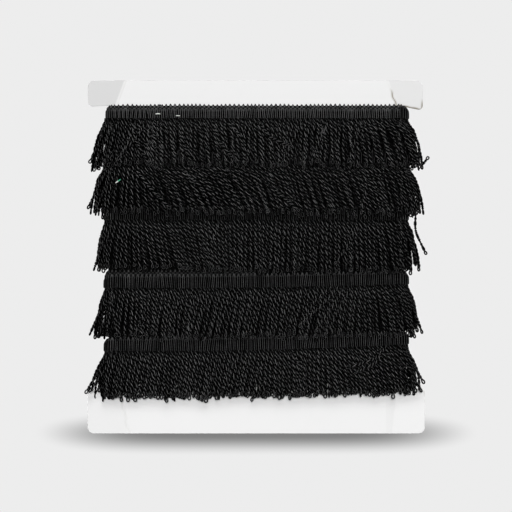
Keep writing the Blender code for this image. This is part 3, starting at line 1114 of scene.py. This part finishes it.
@dataclass(frozen=True)
class Card:
    """The notched card, folded back a little at the creases across its four tabs."""

    mid_height: float = 9.6 * MM
    half_height: float = 141.2 * MM
    lower_by: float = 0.7 * MM
    lowered_from: float = -112 * MM
    lowered_run: float = 28 * MM
    thick: float = 1.5 * MM
    bevel: float = 0.22 * MM
    bevel_from: float = math.radians(50)
    warp: float = 0.25 * MM
    warp_x: tuple[float, float] = (21, 0.6)
    warp_y: tuple[float, float] = (17, 1.0)
    notch_x: float = 112.4 * MM
    notch_top: float = 121.4 * MM
    notch_bottom: float = -106.0 * MM
    outer_radius: float = 5.0 * MM
    inner_radius: float = 3.5 * MM
    # The grid: rows near a corner, then those on the tabs and between them, then the columns.
    near_rows: tuple[float, ...] = (0.0, 0.15, 0.5, 1.1, 1.9, 2.9, 4.0, 5.2)
    low_rows: tuple[float, float, float] = (-134.5, -111.5, 1.0)
    high_rows: tuple[float, float, float] = (127.6, 135.6, 1.0)
    middle_rows: int = 16
    tab_columns: int = 30
    fine_columns: tuple[float, float, float] = (-112.4, -97.0, 0.8)
    middle_columns: tuple[float, float, int] = (-96, 96, 14)
    # The creases: the fold's own width, then the place and width of the dent, along which a grey line of
    # painted shade runs, then the wandering line of painted shade, and where the tab's painted shade begins.
    crease_width: float = 0.7 * MM
    dent: float = 0.10 * MM
    dent_at: float = -0.7 * MM
    dent_width: float = 0.5 * MM
    split_at: float = -0.3 * MM
    split_width: float = 0.6 * MM
    split_wander: tuple[float, float] = (0.4 * MM, 700)
    split_below: float = 136 * MM
    split_run: float = 6 * MM
    shade_from: float = 0.2 * MM
    shade_run: float = 0.9 * MM
    # The frayed edges of a tab, along the notch and round the outer corner.
    fray_width: float = 0.9 * MM
    fray_uneven: tuple[float, float, float] = (0.85, 0.25, 900)
    fray_start: float = 8
    turned_width: float = 1.0 * MM
    turned_reach: tuple[float, float] = (1.6, 5 * MM)
    slant_run: float = 16 * MM
    # Painted light on the foot between the lower tabs, against the shadow that the skirt casts there.
    foot_painted_light: float = 0.035
    foot_run: float = 9 * MM
    foot_half_width: float = 104 * MM
    # The crack at the lower left: where it starts, how it slants and wanders, how deep it is, and how
    # grey its line is painted, as painted shade in its groove.
    crack_start: tuple[float, float] = (-108.2 * MM, -113.2 * MM)
    crack_slope: float = 5.6 / -27.2
    crack_wander: tuple[tuple[float, float], ...] = ((0.9 * MM, 480), (0.4 * MM, 1250))
    crack_below: float = -112 * MM
    crack_width: float = 0.55 * MM
    crack_depth: float = 0.12 * MM
    crack_shade: float = 0.10

    def rows(self) -> Array:
        """Heights of the grid's rows: close together on the tabs, and closest at their rounded corners.

        Returns:
            The heights, from the lowest up.
        """
        near = np.array(self.near_rows) * MM
        low = np.concatenate([-self.half_height + near, np.arange(*self.low_rows) * MM])
        low = np.concatenate([low, (self.notch_bottom - near)[::-1]])
        high = np.concatenate([self.notch_top + near, np.arange(*self.high_rows) * MM])
        high = np.concatenate([high, (self.half_height - near)[::-1]])
        middle = np.linspace(self.notch_bottom, self.notch_top, self.middle_rows)[1:-1]
        return np.concatenate([low, middle, high])

    def ends(self, tab: Tab) -> tuple[float, float]:
        """The heights of a tab's ends: the card's own edge, and the notch's."""
        return (self.half_height, self.notch_top) if tab.top else (-self.half_height, self.notch_bottom)

    def outer(self, y: Array, tab: Tab) -> Array:
        """How far out the tab reaches at each height, with a round corner at its two ends.

        Args:
            y: heights.
            tab: which corner.

        Returns:
            The distance from the card's middle line.
        """
        reach = np.full_like(y, tab.outer_x)
        for end, radius in zip(self.ends(tab), (self.outer_radius, self.inner_radius)):
            near = np.clip(radius - np.abs(end - y), 0, radius)
            reach = reach - (radius - np.sqrt(radius**2 - near**2))
        return reach

    def flat(self) -> Face:
        """The face before it is folded or worn: straight columns between the tabs, and theirs drawn out.

        Returns:
            The grids.
        """
        y = self.rows()
        share = np.linspace(0, 1, self.tab_columns)[1:]
        fine = np.arange(*self.fine_columns)
        middle = np.concatenate([fine, np.linspace(*self.middle_columns), -fine[::-1]]) * MM
        outlines = []
        for side in (-1, 1):
            reach = np.where(y > 0, *(self.outer(y, tab) for tab in TABS if tab.side == side))
            outlines.append(side * (self.notch_x + (reach[:, None] - self.notch_x) * share))
        left, right = outlines
        x = np.concatenate([left[:, ::-1], np.broadcast_to(middle, (len(y), len(middle))), right], axis=1)
        y = np.broadcast_to(y[:, None], x.shape)
        blank = np.zeros(x.shape)
        return Face(x, y, blank + self.mid_height, blank, blank + 1, blank)

    def fold(self, face: Face, tab: Tab) -> None:
        """Folds one tab back at its crease, paints shade along the crease and past it, slants its notch's
        edge, and frays its edges.

        The height falls beyond the crease by tan(bend) times the distance past it, rounded off by a
        softplus, and dips in a narrow trough along it. Grey lines of painted shade follow the trough, and
        past the crease the tab is painted lighter or darker, as painted shade and light for its fold.

        Args:
            face: the card's face.
            tab: which corner.
        """
        edge_y, notch_y = self.ends(tab)
        start = np.array([tab.side * tab.crease_x, edge_y])
        run = np.array([tab.side * self.notch_x, notch_y]) - start
        run = run / np.linalg.norm(run)
        past = (face.x - start[0]) * -run[1] + (face.y - start[1]) * run[0]
        past = past * math.copysign(1, -run[1] * tab.side)
        here = (face.y > 0) == tab.top
        own = here & (face.x * tab.side > 0)
        soft = self.crease_width * np.logaddexp(0, past / self.crease_width)
        trough = soft_line(past - self.dent_at, self.dent_width)
        face.z = face.z - np.where(here, math.tan(math.radians(tab.bend)) * soft, 0)
        face.z = face.z - np.where(here, self.dent * trough, 0)
        size, pace = self.split_wander
        torn = soft_line(past - self.split_at + size * np.sin(face.y * pace), self.split_width)
        torn = torn * smooth((self.split_below - np.abs(face.y)) / self.split_run)
        # Grey lines of painted shade along the crease: one in its trough, a wandering one over its lower
        # half.
        wear_and_shade = np.where(own, np.maximum(tab.crease_shade * trough, tab.split * torn), 0)
        face.wear_and_shade = np.maximum(face.wear_and_shade, wear_and_shade)
        # Painted shade and light: past its crease the tab is painted lighter or darker.
        painted_shade = (tab.shade - 1) * smooth((past - self.shade_from) / self.shade_run)
        face.shade = face.shade + np.where(here, painted_shade, 0)
        out = np.where(own, np.clip((np.abs(face.x) - self.notch_x) / (tab.outer_x - self.notch_x), 0, 1), 0)
        near = np.abs(face.y - notch_y)
        level, size, pace = self.fray_uneven
        lower = soft_line(near, self.fray_width) * smooth(out * self.fray_start)
        lower = lower * (level + size * np.sin(face.x * pace))
        reach, fade = self.turned_reach
        turned = soft_line(np.abs(face.x) - tab.outer_x, self.turned_width) * smooth(reach - near / fade)
        frayed = np.where(out > 0, tab.frayed * np.maximum(lower, turned), 0)
        face.wear_and_shade = np.maximum(face.wear_and_shade, frayed)
        face.drop = face.drop + tab.slant * out * smooth(1 - near / self.slant_run)

    def crack(self, face: Face) -> None:
        """Cracks the lower left tab along a slanting line that wanders by two sines, painting its line grey
        as painted shade in its groove.

        Args:
            face: the card's face.
        """
        start_x, start_y = self.crack_start
        middle = start_x + (face.y - start_y) * self.crack_slope
        for size, pace in self.crack_wander:
            middle = middle + size * np.sin(face.y * pace)
        crack = soft_line(face.x - middle, self.crack_width) * (face.y < self.crack_below)
        face.z = face.z - self.crack_depth * crack
        # Painted shade: the crack's line is painted grey.
        face.wear_and_shade = np.maximum(face.wear_and_shade, self.crack_shade * crack)

    def cells(self, face: Face) -> tuple[Array, Array]:
        """The grid's quads with those in the notches left out.

        Args:
            face: the card's face.

        Returns:
            The indices of the points that are used, and the quads as places in that list.
        """
        rows, cols = face.x.shape
        index = np.arange(rows * cols).reshape(rows, cols)
        quads = np.stack([index[:-1, :-1], index[:-1, 1:], index[1:, 1:], index[1:, :-1]], axis=-1)
        cell_y = (face.y[:-1, :-1] + face.y[1:, :-1]) / 2
        on_tab = np.minimum(np.arange(cols - 1), np.arange(cols - 1)[::-1]) < self.tab_columns - 1
        notched = on_tab & (cell_y < self.notch_top) & (cell_y > self.notch_bottom)
        used, quads = np.unique(quads[~notched], return_inverse=True)
        return used, quads.reshape(-1, 4)

    def build(self, finish: Material) -> None:
        """The card as a grid with its notches left out, given its thickness and soft edges by modifiers.

        Args:
            finish: the board.
        """
        face = self.flat()
        for tab in TABS:
            self.fold(face, tab)
        # Painted light: the foot is painted lighter where the skirt's shadow falls on it.
        foot = smooth((self.notch_bottom - face.y) / self.foot_run + 0.5)
        face.shade = face.shade * (1 + self.foot_painted_light * foot * (np.abs(face.x) < self.foot_half_width))
        (pace_x, shift_x), (pace_y, shift_y) = self.warp_x, self.warp_y
        face.z = face.z + self.warp * np.sin(face.x * pace_x + shift_x) * np.sin(face.y * pace_y + shift_y)
        self.crack(face)
        used, quads = self.cells(face)
        lowered = smooth((self.lowered_from - face.y) / self.lowered_run)
        height = face.y - face.drop - self.lower_by * lowered
        points = np.stack([face.x, height, face.z], axis=-1).reshape(-1, 3)[used]
        mesh = bpy.data.meshes.new("card_board")
        mesh.from_pydata(points.tolist(), [], quads.tolist())
        add_marks(mesh, {"wear_and_shade": face.wear_and_shade.ravel()[used], "shade": face.shade.ravel()[used]})
        mesh.shade_smooth()
        card = place_piece(mesh, finish, ("card",))
        thick = card.modifiers.new("Thickness", "SOLIDIFY")
        thick.thickness = self.thick
        thick.offset = 0.0
        thick.use_even_offset = True
        soften = card.modifiers.new("Edges", "BEVEL")
        soften.width = self.bevel
        soften.segments = 2
        soften.limit_method = "ANGLE"
        soften.angle_limit = self.bevel_from
        soften.harden_normals = False


# Finishes


class Nodes:
    """Adds nodes to a material's tree and joins them up."""

    def __init__(self, name: str) -> None:
        """Starts a material with a Principled BSDF.

        Args:
            name: the material's name.
        """
        self.material = bpy.data.materials.new(name)
        self.material.use_nodes = True
        self.tree = self.material.node_tree
        self.shader = self.tree.nodes["Principled BSDF"]

    def add(self, kind: str, vector: NodeSocket | None = None, **values: object) -> Node:
        """A new node.

        Args:
            kind: the node's type, without its ShaderNode prefix.
            vector: what feeds its Vector input, if anything does.
            values: its properties, or its inputs where it has one of that name.

        Returns:
            The node.
        """
        node = self.tree.nodes.new("ShaderNode" + kind)
        if vector is not None:
            self.link(vector, node.inputs["Vector"])
        self.fill(node, **values)
        return node

    def fill(self, node: Node, **values: object) -> None:
        """Sets a node's inputs, or its properties where it has no input of that name.

        Args:
            node: the node.
            values: each name, with underscores for spaces, and its value.
        """
        for key, value in values.items():
            label = key.replace("_", " ")
            if label in node.inputs:
                node.inputs[label].default_value = value
            else:
                setattr(node, key, value)

    def link(self, start: NodeSocket, end: NodeSocket) -> None:
        """Joins an output to an input."""
        self.tree.links.new(start, end)

    def mark(self, label: str) -> NodeSocket:
        """The number that each point of the mesh carries under this name."""
        return self.add("Attribute", attribute_name=label).outputs["Fac"]

    def calc(self, operation: str, *terms: NodeSocket | float, clamp: bool = False) -> NodeSocket:
        """A sum on numbers and outputs.

        Args:
            operation: the Math node's operation.
            terms: its inputs, in order.
            clamp: whether the result is kept within 0..1.

        Returns:
            The result's output.
        """
        node = self.add("Math", operation=operation, use_clamp=clamp)
        for slot, term in zip(node.inputs, terms):
            if isinstance(term, (int, float)):
                slot.default_value = term
            else:
                self.link(term, slot)
        return node.outputs[0]

    def ranged(self, value: NodeSocket, **limits: object) -> NodeSocket:
        """A number moved from one range to another.

        Args:
            value: the number.
            limits: the Map Range node's limits and properties.

        Returns:
            The result's output.
        """
        node = self.add("MapRange", **limits)
        self.link(value, node.inputs["Value"])
        return node.outputs["Result"]

    def mix(self, factor: NodeSocket, first: Colour, second: Colour) -> NodeSocket:
        """Two colours mixed.

        Args:
            factor: how much of the second one there is.
            first: the colour at 0.
            second: the colour at 1.

        Returns:
            The mixed colour.
        """
        node = self.add("Mix", data_type="RGBA")
        self.link(factor, node.inputs["Factor"])
        for slot, colour in zip([s for s in node.inputs if s.type == "RGBA"], (first, second)):
            slot.default_value = (*colour, 1)
        return [s for s in node.outputs if s.type == "RGBA"][0]

    def scaled(self, colour: NodeSocket, by: NodeSocket) -> NodeSocket:
        """A colour made lighter or darker.

        Args:
            colour: the colour.
            by: what it is multiplied by.

        Returns:
            The new colour.
        """
        node = self.add("VectorMath", operation="SCALE")
        self.link(colour, node.inputs[0])
        self.link(by, node.inputs["Scale"])
        return node.outputs["Vector"]

    def surface(
        self, colour: NodeSocket, height: NodeSocket, strength: float, distance: float, **values: float
    ) -> Material:
        """Gives the shader its colour, its bump and its other values.

        Args:
            colour: its base colour.
            height: the relief that the bump follows.
            strength: how strong the bump is.
            distance: how high the relief stands.
            values: the shader's other inputs.

        Returns:
            The material.
        """
        bump = self.add("Bump", Strength=strength, Distance=distance)
        self.link(height, bump.inputs["Height"])
        self.link(bump.outputs["Normal"], self.shader.inputs["Normal"])
        self.link(colour, self.shader.inputs["Base Color"])
        self.fill(self.shader, **values)
        return self.material


class Lay(Enum):
    """How the yarn lies in a piece."""

    TWISTED = "two plies twisted into a cord"
    RIBBED = "ribs side by side down a woven band"


@dataclass(frozen=True)
class Yarn:
    """Black yarn: matt, with fine fibres along the ply, cords that differ a little in shade, a painted
    highlight along each ply or rib, and painted shade in the grooves.
    """

    name: str = "black_yarn"
    # The colour runs from dark, the painted shade in the grooves, to light, the painted highlight on crests.
    dark: Colour = (0.0003, 0.0003, 0.0003)
    light: Colour = (0.2200, 0.2200, 0.2217)
    roughness: float = 0.45
    dull: float = 0.95
    specular: float = 0.02
    fibre: float = 0.35
    fibre_height: float = 0.15 * MM
    fibre_scale: Colour = (26.0, 2.4, 1.0)
    fibre_slant: float = 0.35
    streak: tuple[float, float] = (0.5, 1.5)
    patch: tuple[float, float] = (0.7, 1.3)
    patch_scale: float = 3.0
    noise_range: tuple[float, float] = (0.3, 0.7)
    lay: Lay = Lay.TWISTED
    ply_centre: float = 0.55
    ply_width: float = 0.14
    ply_outline: tuple[float, float, float] = (1.2, 0.7, 0.3)
    ply_top: float = 1.3
    rib: float = RIB
    rib_power: float = 30.0

    def plies(self, nodes: Nodes, uv: NodeSocket) -> NodeSocket:
        """Painted highlight on a ply: most along the middle of its back, and none down in the groove, where
        the colour is painted shade.

        With a the angle round the section, c and s the marks' cosine and sine, and e the sign of cos a, the
        point lies r(a) (sin a c + cos a s) to the side and the ply's middle e s times its centre's radius.
        The light is 1 - (the difference / width)^2, times how far e c shows that the ply is on top.

        Args:
            nodes: the material's tree.
            uv: the place on the yarn, once round the section to one.

        Returns:
            The share of the light.
        """
        angle = nodes.calc("MULTIPLY", nodes.add("SeparateXYZ", uv).outputs["X"], TURN)
        cos_a, sin_a = nodes.calc("COSINE", angle), nodes.calc("SINE", angle)
        c, s = (nodes.mark(label) for label in Shell.LABELS[1:])
        lobe = nodes.calc("SIGN", cos_a)
        power, *size = self.ply_outline
        reach = nodes.calc("MULTIPLY_ADD", nodes.calc("POWER", nodes.calc("ABSOLUTE", cos_a), power), *size)
        aside = nodes.calc("ADD", nodes.calc("MULTIPLY", sin_a, c), nodes.calc("MULTIPLY", cos_a, s))
        middle = nodes.calc("MULTIPLY", nodes.calc("MULTIPLY", lobe, s), self.ply_centre)
        off = nodes.calc("SUBTRACT", nodes.calc("MULTIPLY", reach, aside), middle)
        share = nodes.calc("DIVIDE", off, self.ply_width)
        ridge = nodes.calc("SUBTRACT", 1.0, nodes.calc("MULTIPLY", share, share), clamp=True)
        height = nodes.calc("MULTIPLY", nodes.calc("MULTIPLY", lobe, c), self.ply_top, clamp=True)
        return nodes.calc("MULTIPLY", ridge, height)

    def ribs(self, nodes: Nodes, uv: NodeSocket) -> NodeSocket:
        """Painted highlight on the heading's rib crests: |cos|^power of the distance along, as far as it is
        ribbed, with painted shade between them.

        Args:
            nodes: the material's tree.
            uv: the place on the yarn, UV_PER_METRE along the heading.

        Returns:
            The share of the light.
        """
        along = nodes.add("SeparateXYZ", uv).outputs["Y"]
        angle = nodes.calc("MULTIPLY", along, math.pi / (UV_PER_METRE * self.rib))
        crest = nodes.calc("POWER", nodes.calc("ABSOLUTE", nodes.calc("COSINE", angle)), self.rib_power)
        groove = nodes.calc("MULTIPLY", nodes.mark(Shell.LABELS[1]), nodes.calc("SUBTRACT", 1.0, crest))
        return nodes.calc("SUBTRACT", 1.0, groove, clamp=True)

    def spread(self, nodes: Nodes, noise: NodeSocket, least: float, most: float) -> NodeSocket:
        """A noise's middle range, stretched to run from least to most."""
        start, end = self.noise_range
        return nodes.ranged(noise, From_Min=start, From_Max=end, To_Min=least, To_Max=most)

    def make(self) -> Material:
        """The material: shade by the cord's own tone, which holds painted shade, and by streaks along it,
        times the painted highlight of the plies or ribs; bump by fibres across it.

        Returns:
            The material.
        """
        nodes = Nodes(self.name)
        uv = nodes.add("UVMap", uv_map="UVMap").outputs["UV"]
        slant = (0.0, 0.0, self.fibre_slant)
        stretch = nodes.add("Mapping", uv, Scale=self.fibre_scale, Rotation=slant).outputs["Vector"]
        fibres = nodes.add("TexNoise", stretch, Scale=1.0, Detail=3.0, Roughness=0.6).outputs["Fac"]
        patches = nodes.add("TexNoise", uv, Scale=self.patch_scale, Detail=1.0).outputs["Fac"]
        tone = nodes.mark("tone")
        streak = self.spread(nodes, fibres, *self.streak)
        patch = self.spread(nodes, patches, *self.patch)
        mixed = nodes.calc("MULTIPLY", nodes.calc("MULTIPLY", streak, patch), tone)
        lay = {Lay.TWISTED: self.plies, Lay.RIBBED: self.ribs}[self.lay]
        # The plies or ribs paint their highlight, and their grooves' shade, into the colour.
        mixed = nodes.calc("MULTIPLY", mixed, lay(nodes, uv))
        rough = nodes.ranged(tone, To_Min=self.dull, To_Max=self.roughness)
        nodes.link(rough, nodes.shader.inputs["Roughness"])
        return nodes.surface(
            nodes.mix(mixed, self.dark, self.light),
            fibres,
            self.fibre,
            self.fibre_height,
            Specular_IOR_Level=self.specular,
        )


@dataclass(frozen=True)
class Thread:
    """Sewing thread: white, and dyed as far as the tone says, with its own fine twist."""

    name: str = "sewing_thread"
    plain: Colour = (0.88, 0.88, 0.86)
    dyed: Colour = (0.05, 0.42, 0.22)
    roughness: float = 0.5
    twist: float = 9.0
    slant: float = 0.6
    relief: float = 0.4
    relief_height: float = 0.1 * MM
    bands: tuple[float, float] = (0.2, 0.8)

    def make(self) -> Material:
        """The material: bands of a wave slanted round the thread, for the bump and a little painted shade in
        the twist.

        Returns:
            The material.
        """
        nodes = Nodes(self.name)
        uv = nodes.add("UVMap", uv_map="UVMap").outputs["UV"]
        slanted = nodes.add("Mapping", uv, Scale=(1.0, self.twist, 1.0), Rotation=(0.0, 0.0, self.slant))
        wave = nodes.add("TexWave", slanted.outputs["Vector"], Scale=1.0, Distortion=0.6, Detail=1.0)
        height = wave.outputs["Fac"]
        shade = nodes.mix(nodes.mark("tone"), self.plain, self.dyed)
        # Painted shade: the twist's grooves are painted a little darker.
        lit = nodes.scaled(shade, nodes.calc("MULTIPLY_ADD", height, *self.bands))
        return nodes.surface(lit, height, self.relief, self.relief_height, Roughness=self.roughness)


@dataclass(frozen=True)
class Board:
    """White paperboard: a matt coated face, faint mottling, frayed edges and grey painted shade on creases.
    """

    name: str = "white_board"
    face: Colour = (0.81, 0.81, 0.81)
    wear_and_shade: Colour = (0.26, 0.23, 0.18)
    roughness: float = 0.55
    specular: float = 0.35
    mottling: float = 0.022
    mottling_scale: float = 35.0
    grain: float = 0.12
    grain_height: float = 0.05 * MM
    grain_scale: float = 1800.0

    def make(self) -> Material:
        """The material: face colour with a cloudy noise, the grey of wear and painted shade where that
        attribute says, times the painted shade and light of the shade attribute.

        Returns:
            The material.
        """
        nodes = Nodes(self.name)
        where = nodes.add("TexCoord").outputs["Object"]
        cloud = nodes.add("TexNoise", where, Scale=self.mottling_scale, Detail=4.0)
        cloudy = nodes.ranged(cloud.outputs["Fac"], To_Min=0.0, To_Max=self.mottling)
        shade = nodes.mix(nodes.calc("ADD", nodes.mark("wear_and_shade"), cloudy), self.face, self.wear_and_shade)
        # The tabs' and the foot's painted shade and painted light multiply the colour.
        painted_shading = nodes.scaled(shade, nodes.mark("shade"))
        grain = nodes.add("TexNoise", where, Scale=self.grain_scale, Detail=3.0).outputs["Fac"]
        values = {"Roughness": self.roughness, "Specular_IOR_Level": self.specular}
        return nodes.surface(painted_shading, grain, self.grain, self.grain_height, **values)


# The studio


@dataclass(frozen=True)
class Studio:
    """A light table with a painted shadow along the card's lower edge, lamps and a camera straight over it.
    """

    frame_width: float = 409.6 * MM
    look_at: tuple[float, float] = (-0.2 * MM, 0.4 * MM)
    picture_height: float = 15.0 * MM
    distance: float = 1.9
    sensor: float = 36.0
    clip: tuple[float, float] = (0.05, 50.0)
    half_table: float = 6.0
    glow: float = 0.846
    # The painted shadow on the pane: its depth, middle, reach, falloff powers and core.
    shade_depth: float = 0.74
    shade_y: float = -142.4 * MM
    shade_reach: tuple[float, float] = (181.0 * MM, 18.6 * MM)
    shade_powers: tuple[float, float] = (5.0, 2.0)
    shade_core: float = 0.1
    ambient: float = 0.11
    # Each lamp's name, strength, spread and tilt in degrees.
    lamps: tuple[tuple[str, float, float, float], ...] = (("key", 1.20, 34, -46), ("front", 2.10, 12, -8))

    def pane(self) -> Material:
        """The table's pane: an even glow, less depth times smoothstep((1 - r) / 0.9) near the card's foot,
        as a painted shadow.

        There r is the square root of (x / reach)^5 + (y / reach)^2, measured from the middle of the shade.

        Returns:
            The material.
        """
        nodes = Nodes("light_pane")
        parts = nodes.add("SeparateXYZ", nodes.add("TexCoord").outputs["Object"])
        powers = []
        for axis, shift, reach, power in zip("XY", (0.0, self.shade_y), self.shade_reach, self.shade_powers):
            away = nodes.calc("MULTIPLY_ADD", parts.outputs[axis], 1 / reach, -shift / reach)
            powers.append(nodes.calc("POWER", nodes.calc("ABSOLUTE", away), power))
        far = nodes.calc("SQRT", nodes.calc("ADD", *powers))
        dim = self.glow * (1 - self.shade_depth)
        limits = {"From_Min": self.shade_core, "To_Min": dim, "To_Max": self.glow}
        bright = nodes.ranged(far, interpolation_type="SMOOTHSTEP", **limits)
        glow = nodes.add("Emission", Color=(1, 1, 1, 1))
        nodes.link(bright, glow.inputs["Strength"])
        nodes.link(glow.outputs["Emission"], nodes.tree.nodes["Material Output"].inputs["Surface"])
        nodes.tree.nodes.remove(nodes.shader)
        return nodes.material

    def build(self) -> None:
        """Makes the floor, the world, the lamps and the camera."""
        scene = bpy.context.scene
        mesh = bpy.data.meshes.new("floor")
        half = self.half_table
        corners = [(-half, -half, 0), (half, -half, 0), (half, half, 0), (-half, half, 0)]
        mesh.from_pydata(corners, [], [(0, 1, 2, 3)])
        floor = bpy.data.objects.new("floor", mesh)
        scene.collection.objects.link(floor)
        mesh.materials.append(self.pane())
        world = bpy.data.worlds.new("studio")
        scene.world = world
        world.use_nodes = True
        world.node_tree.nodes["Background"].inputs["Color"].default_value = (1, 1, 1, 1)
        world.node_tree.nodes["Background"].inputs["Strength"].default_value = self.ambient
        for name, energy, spread, tilt in self.lamps:
            light = bpy.data.lights.new(name, "SUN")
            light.energy = energy
            light.angle = math.radians(spread)
            lamp = bpy.data.objects.new(name, light)
            lamp.rotation_euler = (math.radians(tilt), 0, 0)
            scene.collection.objects.link(lamp)
        camera = bpy.data.cameras.new("camera")
        camera.sensor_width = self.sensor
        camera.lens = self.sensor * (self.distance - self.picture_height) / self.frame_width
        camera.clip_start, camera.clip_end = self.clip
        eye = bpy.data.objects.new("camera", camera)
        eye.location = (*self.look_at, self.distance)
        scene.collection.objects.link(eye)
        scene.camera = eye
        scene.view_settings.view_transform = "Standard"


# Everything together


# Places on the winding: where the trim starts and is cut off, where the turn past the cut is hidden again,
# and the two ends of the stretch of heading that shows beneath.
TRIM_START = 2.72
CUT_END = 20.8787
UPPER_END = 22.5
BENEATH = (8.5, 9.5)


@dataclass(frozen=True)
class Trim:
    """The outer turns: the heading and the skirt, tier by tier, and the heading that shows beneath them."""

    winding: Winding
    yarn: Material
    woven: Material
    # How light each lap's heading is painted, from the lowest up: painted shade below, painted light on top.
    heading_shades: tuple[float, ...] = (0.62, 0.58, 0.38, 0.42, 1.27)
    back_shade: float = 0.8
    # Columns of points to a rib on the front and on the back.
    fine: int = 4
    coarse: int = 2
    beneath_depths: tuple[float, float] = (4.4 * MM, 5.7 * MM)
    # The heading beneath is painted darker: painted shade.
    beneath_shade: float = 0.50
    beneath_lift: float = 4.2 * MM
    least_sway: float = 0.04
    # The hidden rows are painted dark: painted shade.
    low_shade: float = 0.2
    low_jitter: float = 0.006
    low_depths: tuple[float, float] = (1.7 * MM, 1.6 * MM)
    back_hang: Hang = Hang(5.9 * MM, 8.1 * MM, 8.1 * MM, depth_spread=0.15 * MM)
    back_split: int = 3

    def headings(self) -> Object:
        """The trim's own heading, and laid under it the stretch that shows beneath.

        Returns:
            The trim's heading.
        """
        winding, laps = self.winding, len(TIERS)
        heading = Heading(winding)
        back = self.coarse, self.back_shade, Weave.PLAIN
        band = [heading.band(TRIM_START, 4.0, *back, Seed.HEADING)]
        for lap, shade in enumerate(self.heading_shades, start=1):
            weave = Weave.DOTTED if lap == laps else Weave.PLAIN
            last = min(4 * lap + 1.0, CUT_END)
            band.append(heading.band(4 * lap, last, self.fine, shade, weave, Seed.HEADING + lap))
            if lap < laps:
                band.append(heading.band(last, 4 * lap + 4.0, *back, Seed.HEADING_BACK + lap))
        tape = Shell.join(band).to_object("heading", self.woven, ("trim",))
        inner, outer = self.beneath_depths
        sunk = replace(heading, inner=inner, outer=outer)
        look = self.fine, self.beneath_shade, Weave.DOTTED
        under = sunk.band(*BENEATH, *look, Seed.HEADING_BENEATH, self.beneath_lift)
        under.to_object("heading_beneath", self.woven, ("under_turns",))
        winding.run(*BENEATH)
        return tape

    def tier(self, number: int, tier: Tier) -> Object:
        """One tier's cords: the outer row, a hidden row that fills the gaps, and both bends.

        Args:
            number: the tier, from 1 at the top.
            tier: its sizes.

        Returns:
            The piece.
        """
        skirt = Skirt(self.winding)
        start = 4 * (len(TIERS) + 1 - number)
        last = min(start + 1.0, CUT_END)
        hang = Hang(tip_depth=tier.tip_depth, jitter=tier.unruly, sway=self.least_sway + tier.unruly)
        lie, tip = (hang.lie_depth - depth for depth in self.low_depths)
        low = replace(hang, lie_depth=lie, tip_depth=tip, jitter=self.low_jitter)
        short = tuple(foot + tier.short for foot in tier.foot)
        face = replace(skirt, beneath=tier.beneath)
        lean = tier.lean, tier.curl
        parts = [
            skirt.row(start, last, skirt.low_cord, low, Seed.HIDDEN + number, *lean, short, self.low_shade),
            face.row(start, last, face.top_cord, hang, Seed.FACE + number, *lean, tier.foot, tier.shade),
            skirt.bend(start - 1, number, Seed.RIGHT_EDGE + number),
        ]
        if number > 1:
            parts.append(skirt.bend(start + 1, number, Seed.LEFT_EDGE + number))
        return Shell.join(parts).to_object(f"skirt_{number}", self.yarn, ("trim",))

    def back(self) -> list[Object]:
        """The cords on the back, in a lower and a higher piece.

        Returns:
            The two pieces.
        """
        skirt = Skirt(self.winding)
        rows = []
        for lap in range(len(TIERS)):
            ends = 4 * lap + 2 if lap else TRIM_START, 4 * lap + 3
            rows.append(skirt.row(*ends, skirt.back_cord, self.back_hang, Seed.BACK + lap, BACK_LEAN))
        halves = {"skirt_back_low": rows[: self.back_split], "skirt_back_high": rows[self.back_split :]}
        return [Shell.join(half).to_object(name, self.yarn, ("trim",)) for name, half in halves.items()]

    def build(self) -> None:
        """The pieces: the heading, the skirt tier by tier, the loose cords and the back."""
        winding = self.winding
        tape = self.headings()
        skirts = [self.tier(number, tier) for number, tier in enumerate(TIERS, start=1)]
        skirts.append(LooseCords(winding).shell().to_object("loose_cords", self.yarn, ("trim",)))
        skirts += self.back()
        winding.run(TRIM_START, CUT_END)


@dataclass(frozen=True)
class UpperTurn:
    """The stretch of the turn beneath that shows past the trim's cut end."""

    winding: Winding
    yarn: Material
    woven: Material
    overlap: float = 0.05
    heading_depths: tuple[float, float] = (3.4 * MM, 5.0 * MM)
    # Its heading is painted light, as the top tier's is: painted light.
    heading_shade: float = 1.2
    fine: int = 4
    hang: Hang = Hang(4.8 * MM, 8.2 * MM, 9.6 * MM)
    back_hang: Hang = Hang(5.0 * MM, 7.4 * MM, 7.4 * MM, depth_spread=0.15 * MM)
    back_curl: float = 0.2
    climb: tuple[float, ...] = (88.0, 93.7, 99.3, 105.0, 110.6)

    def build(self) -> None:
        """Its heading, and its cords on the front, round the left edge and on the back."""
        winding = self.winding
        skirt, top = Skirt(winding), TIERS[0]
        start = CUT_END - self.overlap
        corner = 4 * len(TIERS) + 1.0
        inner, outer = self.heading_depths
        heading = replace(Heading(winding), inner=inner, outer=outer)
        look = self.fine, self.heading_shade, Weave.DOTTED
        band = heading.band(start, UPPER_END, *look, Seed.HEADING_UPPER)
        front = top.lean, top.curl, top.foot
        back = BACK_LEAN, self.back_curl, self.climb
        rows = [
            skirt.row(start, corner, skirt.top_cord, self.hang, Seed.UPPER_FACE, *front),
            skirt.bend(corner, 1, Seed.UPPER_EDGE),
            skirt.row(corner + 1, UPPER_END, skirt.back_cord, self.back_hang, Seed.UPPER_BACK, *back),
        ]
        tape = band.to_object("upper_turn_heading", self.woven, ("upper_turn",))
        skirt_piece = Shell.join(rows).to_object("upper_turn_skirt", self.yarn, ("upper_turn",))
        winding.run(start, UPPER_END)


def main() -> None:
    """Builds the pieces in order."""
    logging.basicConfig(level=logging.INFO, format="%(message)s")
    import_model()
    Studio().build()
    winding = Winding()
    yarn = Yarn().make()
    # The woven yarn's light colour is the painted highlight on its rib crests.
    woven = Yarn(name="woven_yarn", light=(0.120, 0.120, 0.121), lay=Lay.RIBBED).make()
    Card().build(Board().make())
    TurnsBeneath(winding).build(woven)
    Trim(winding, yarn, woven).build()
    UpperTurn(winding, yarn, woven).build()
    thread = Thread().make()
    for stitch in STITCHES:
        stitch.build(winding, thread)


if __name__ == "__main__":
    main()
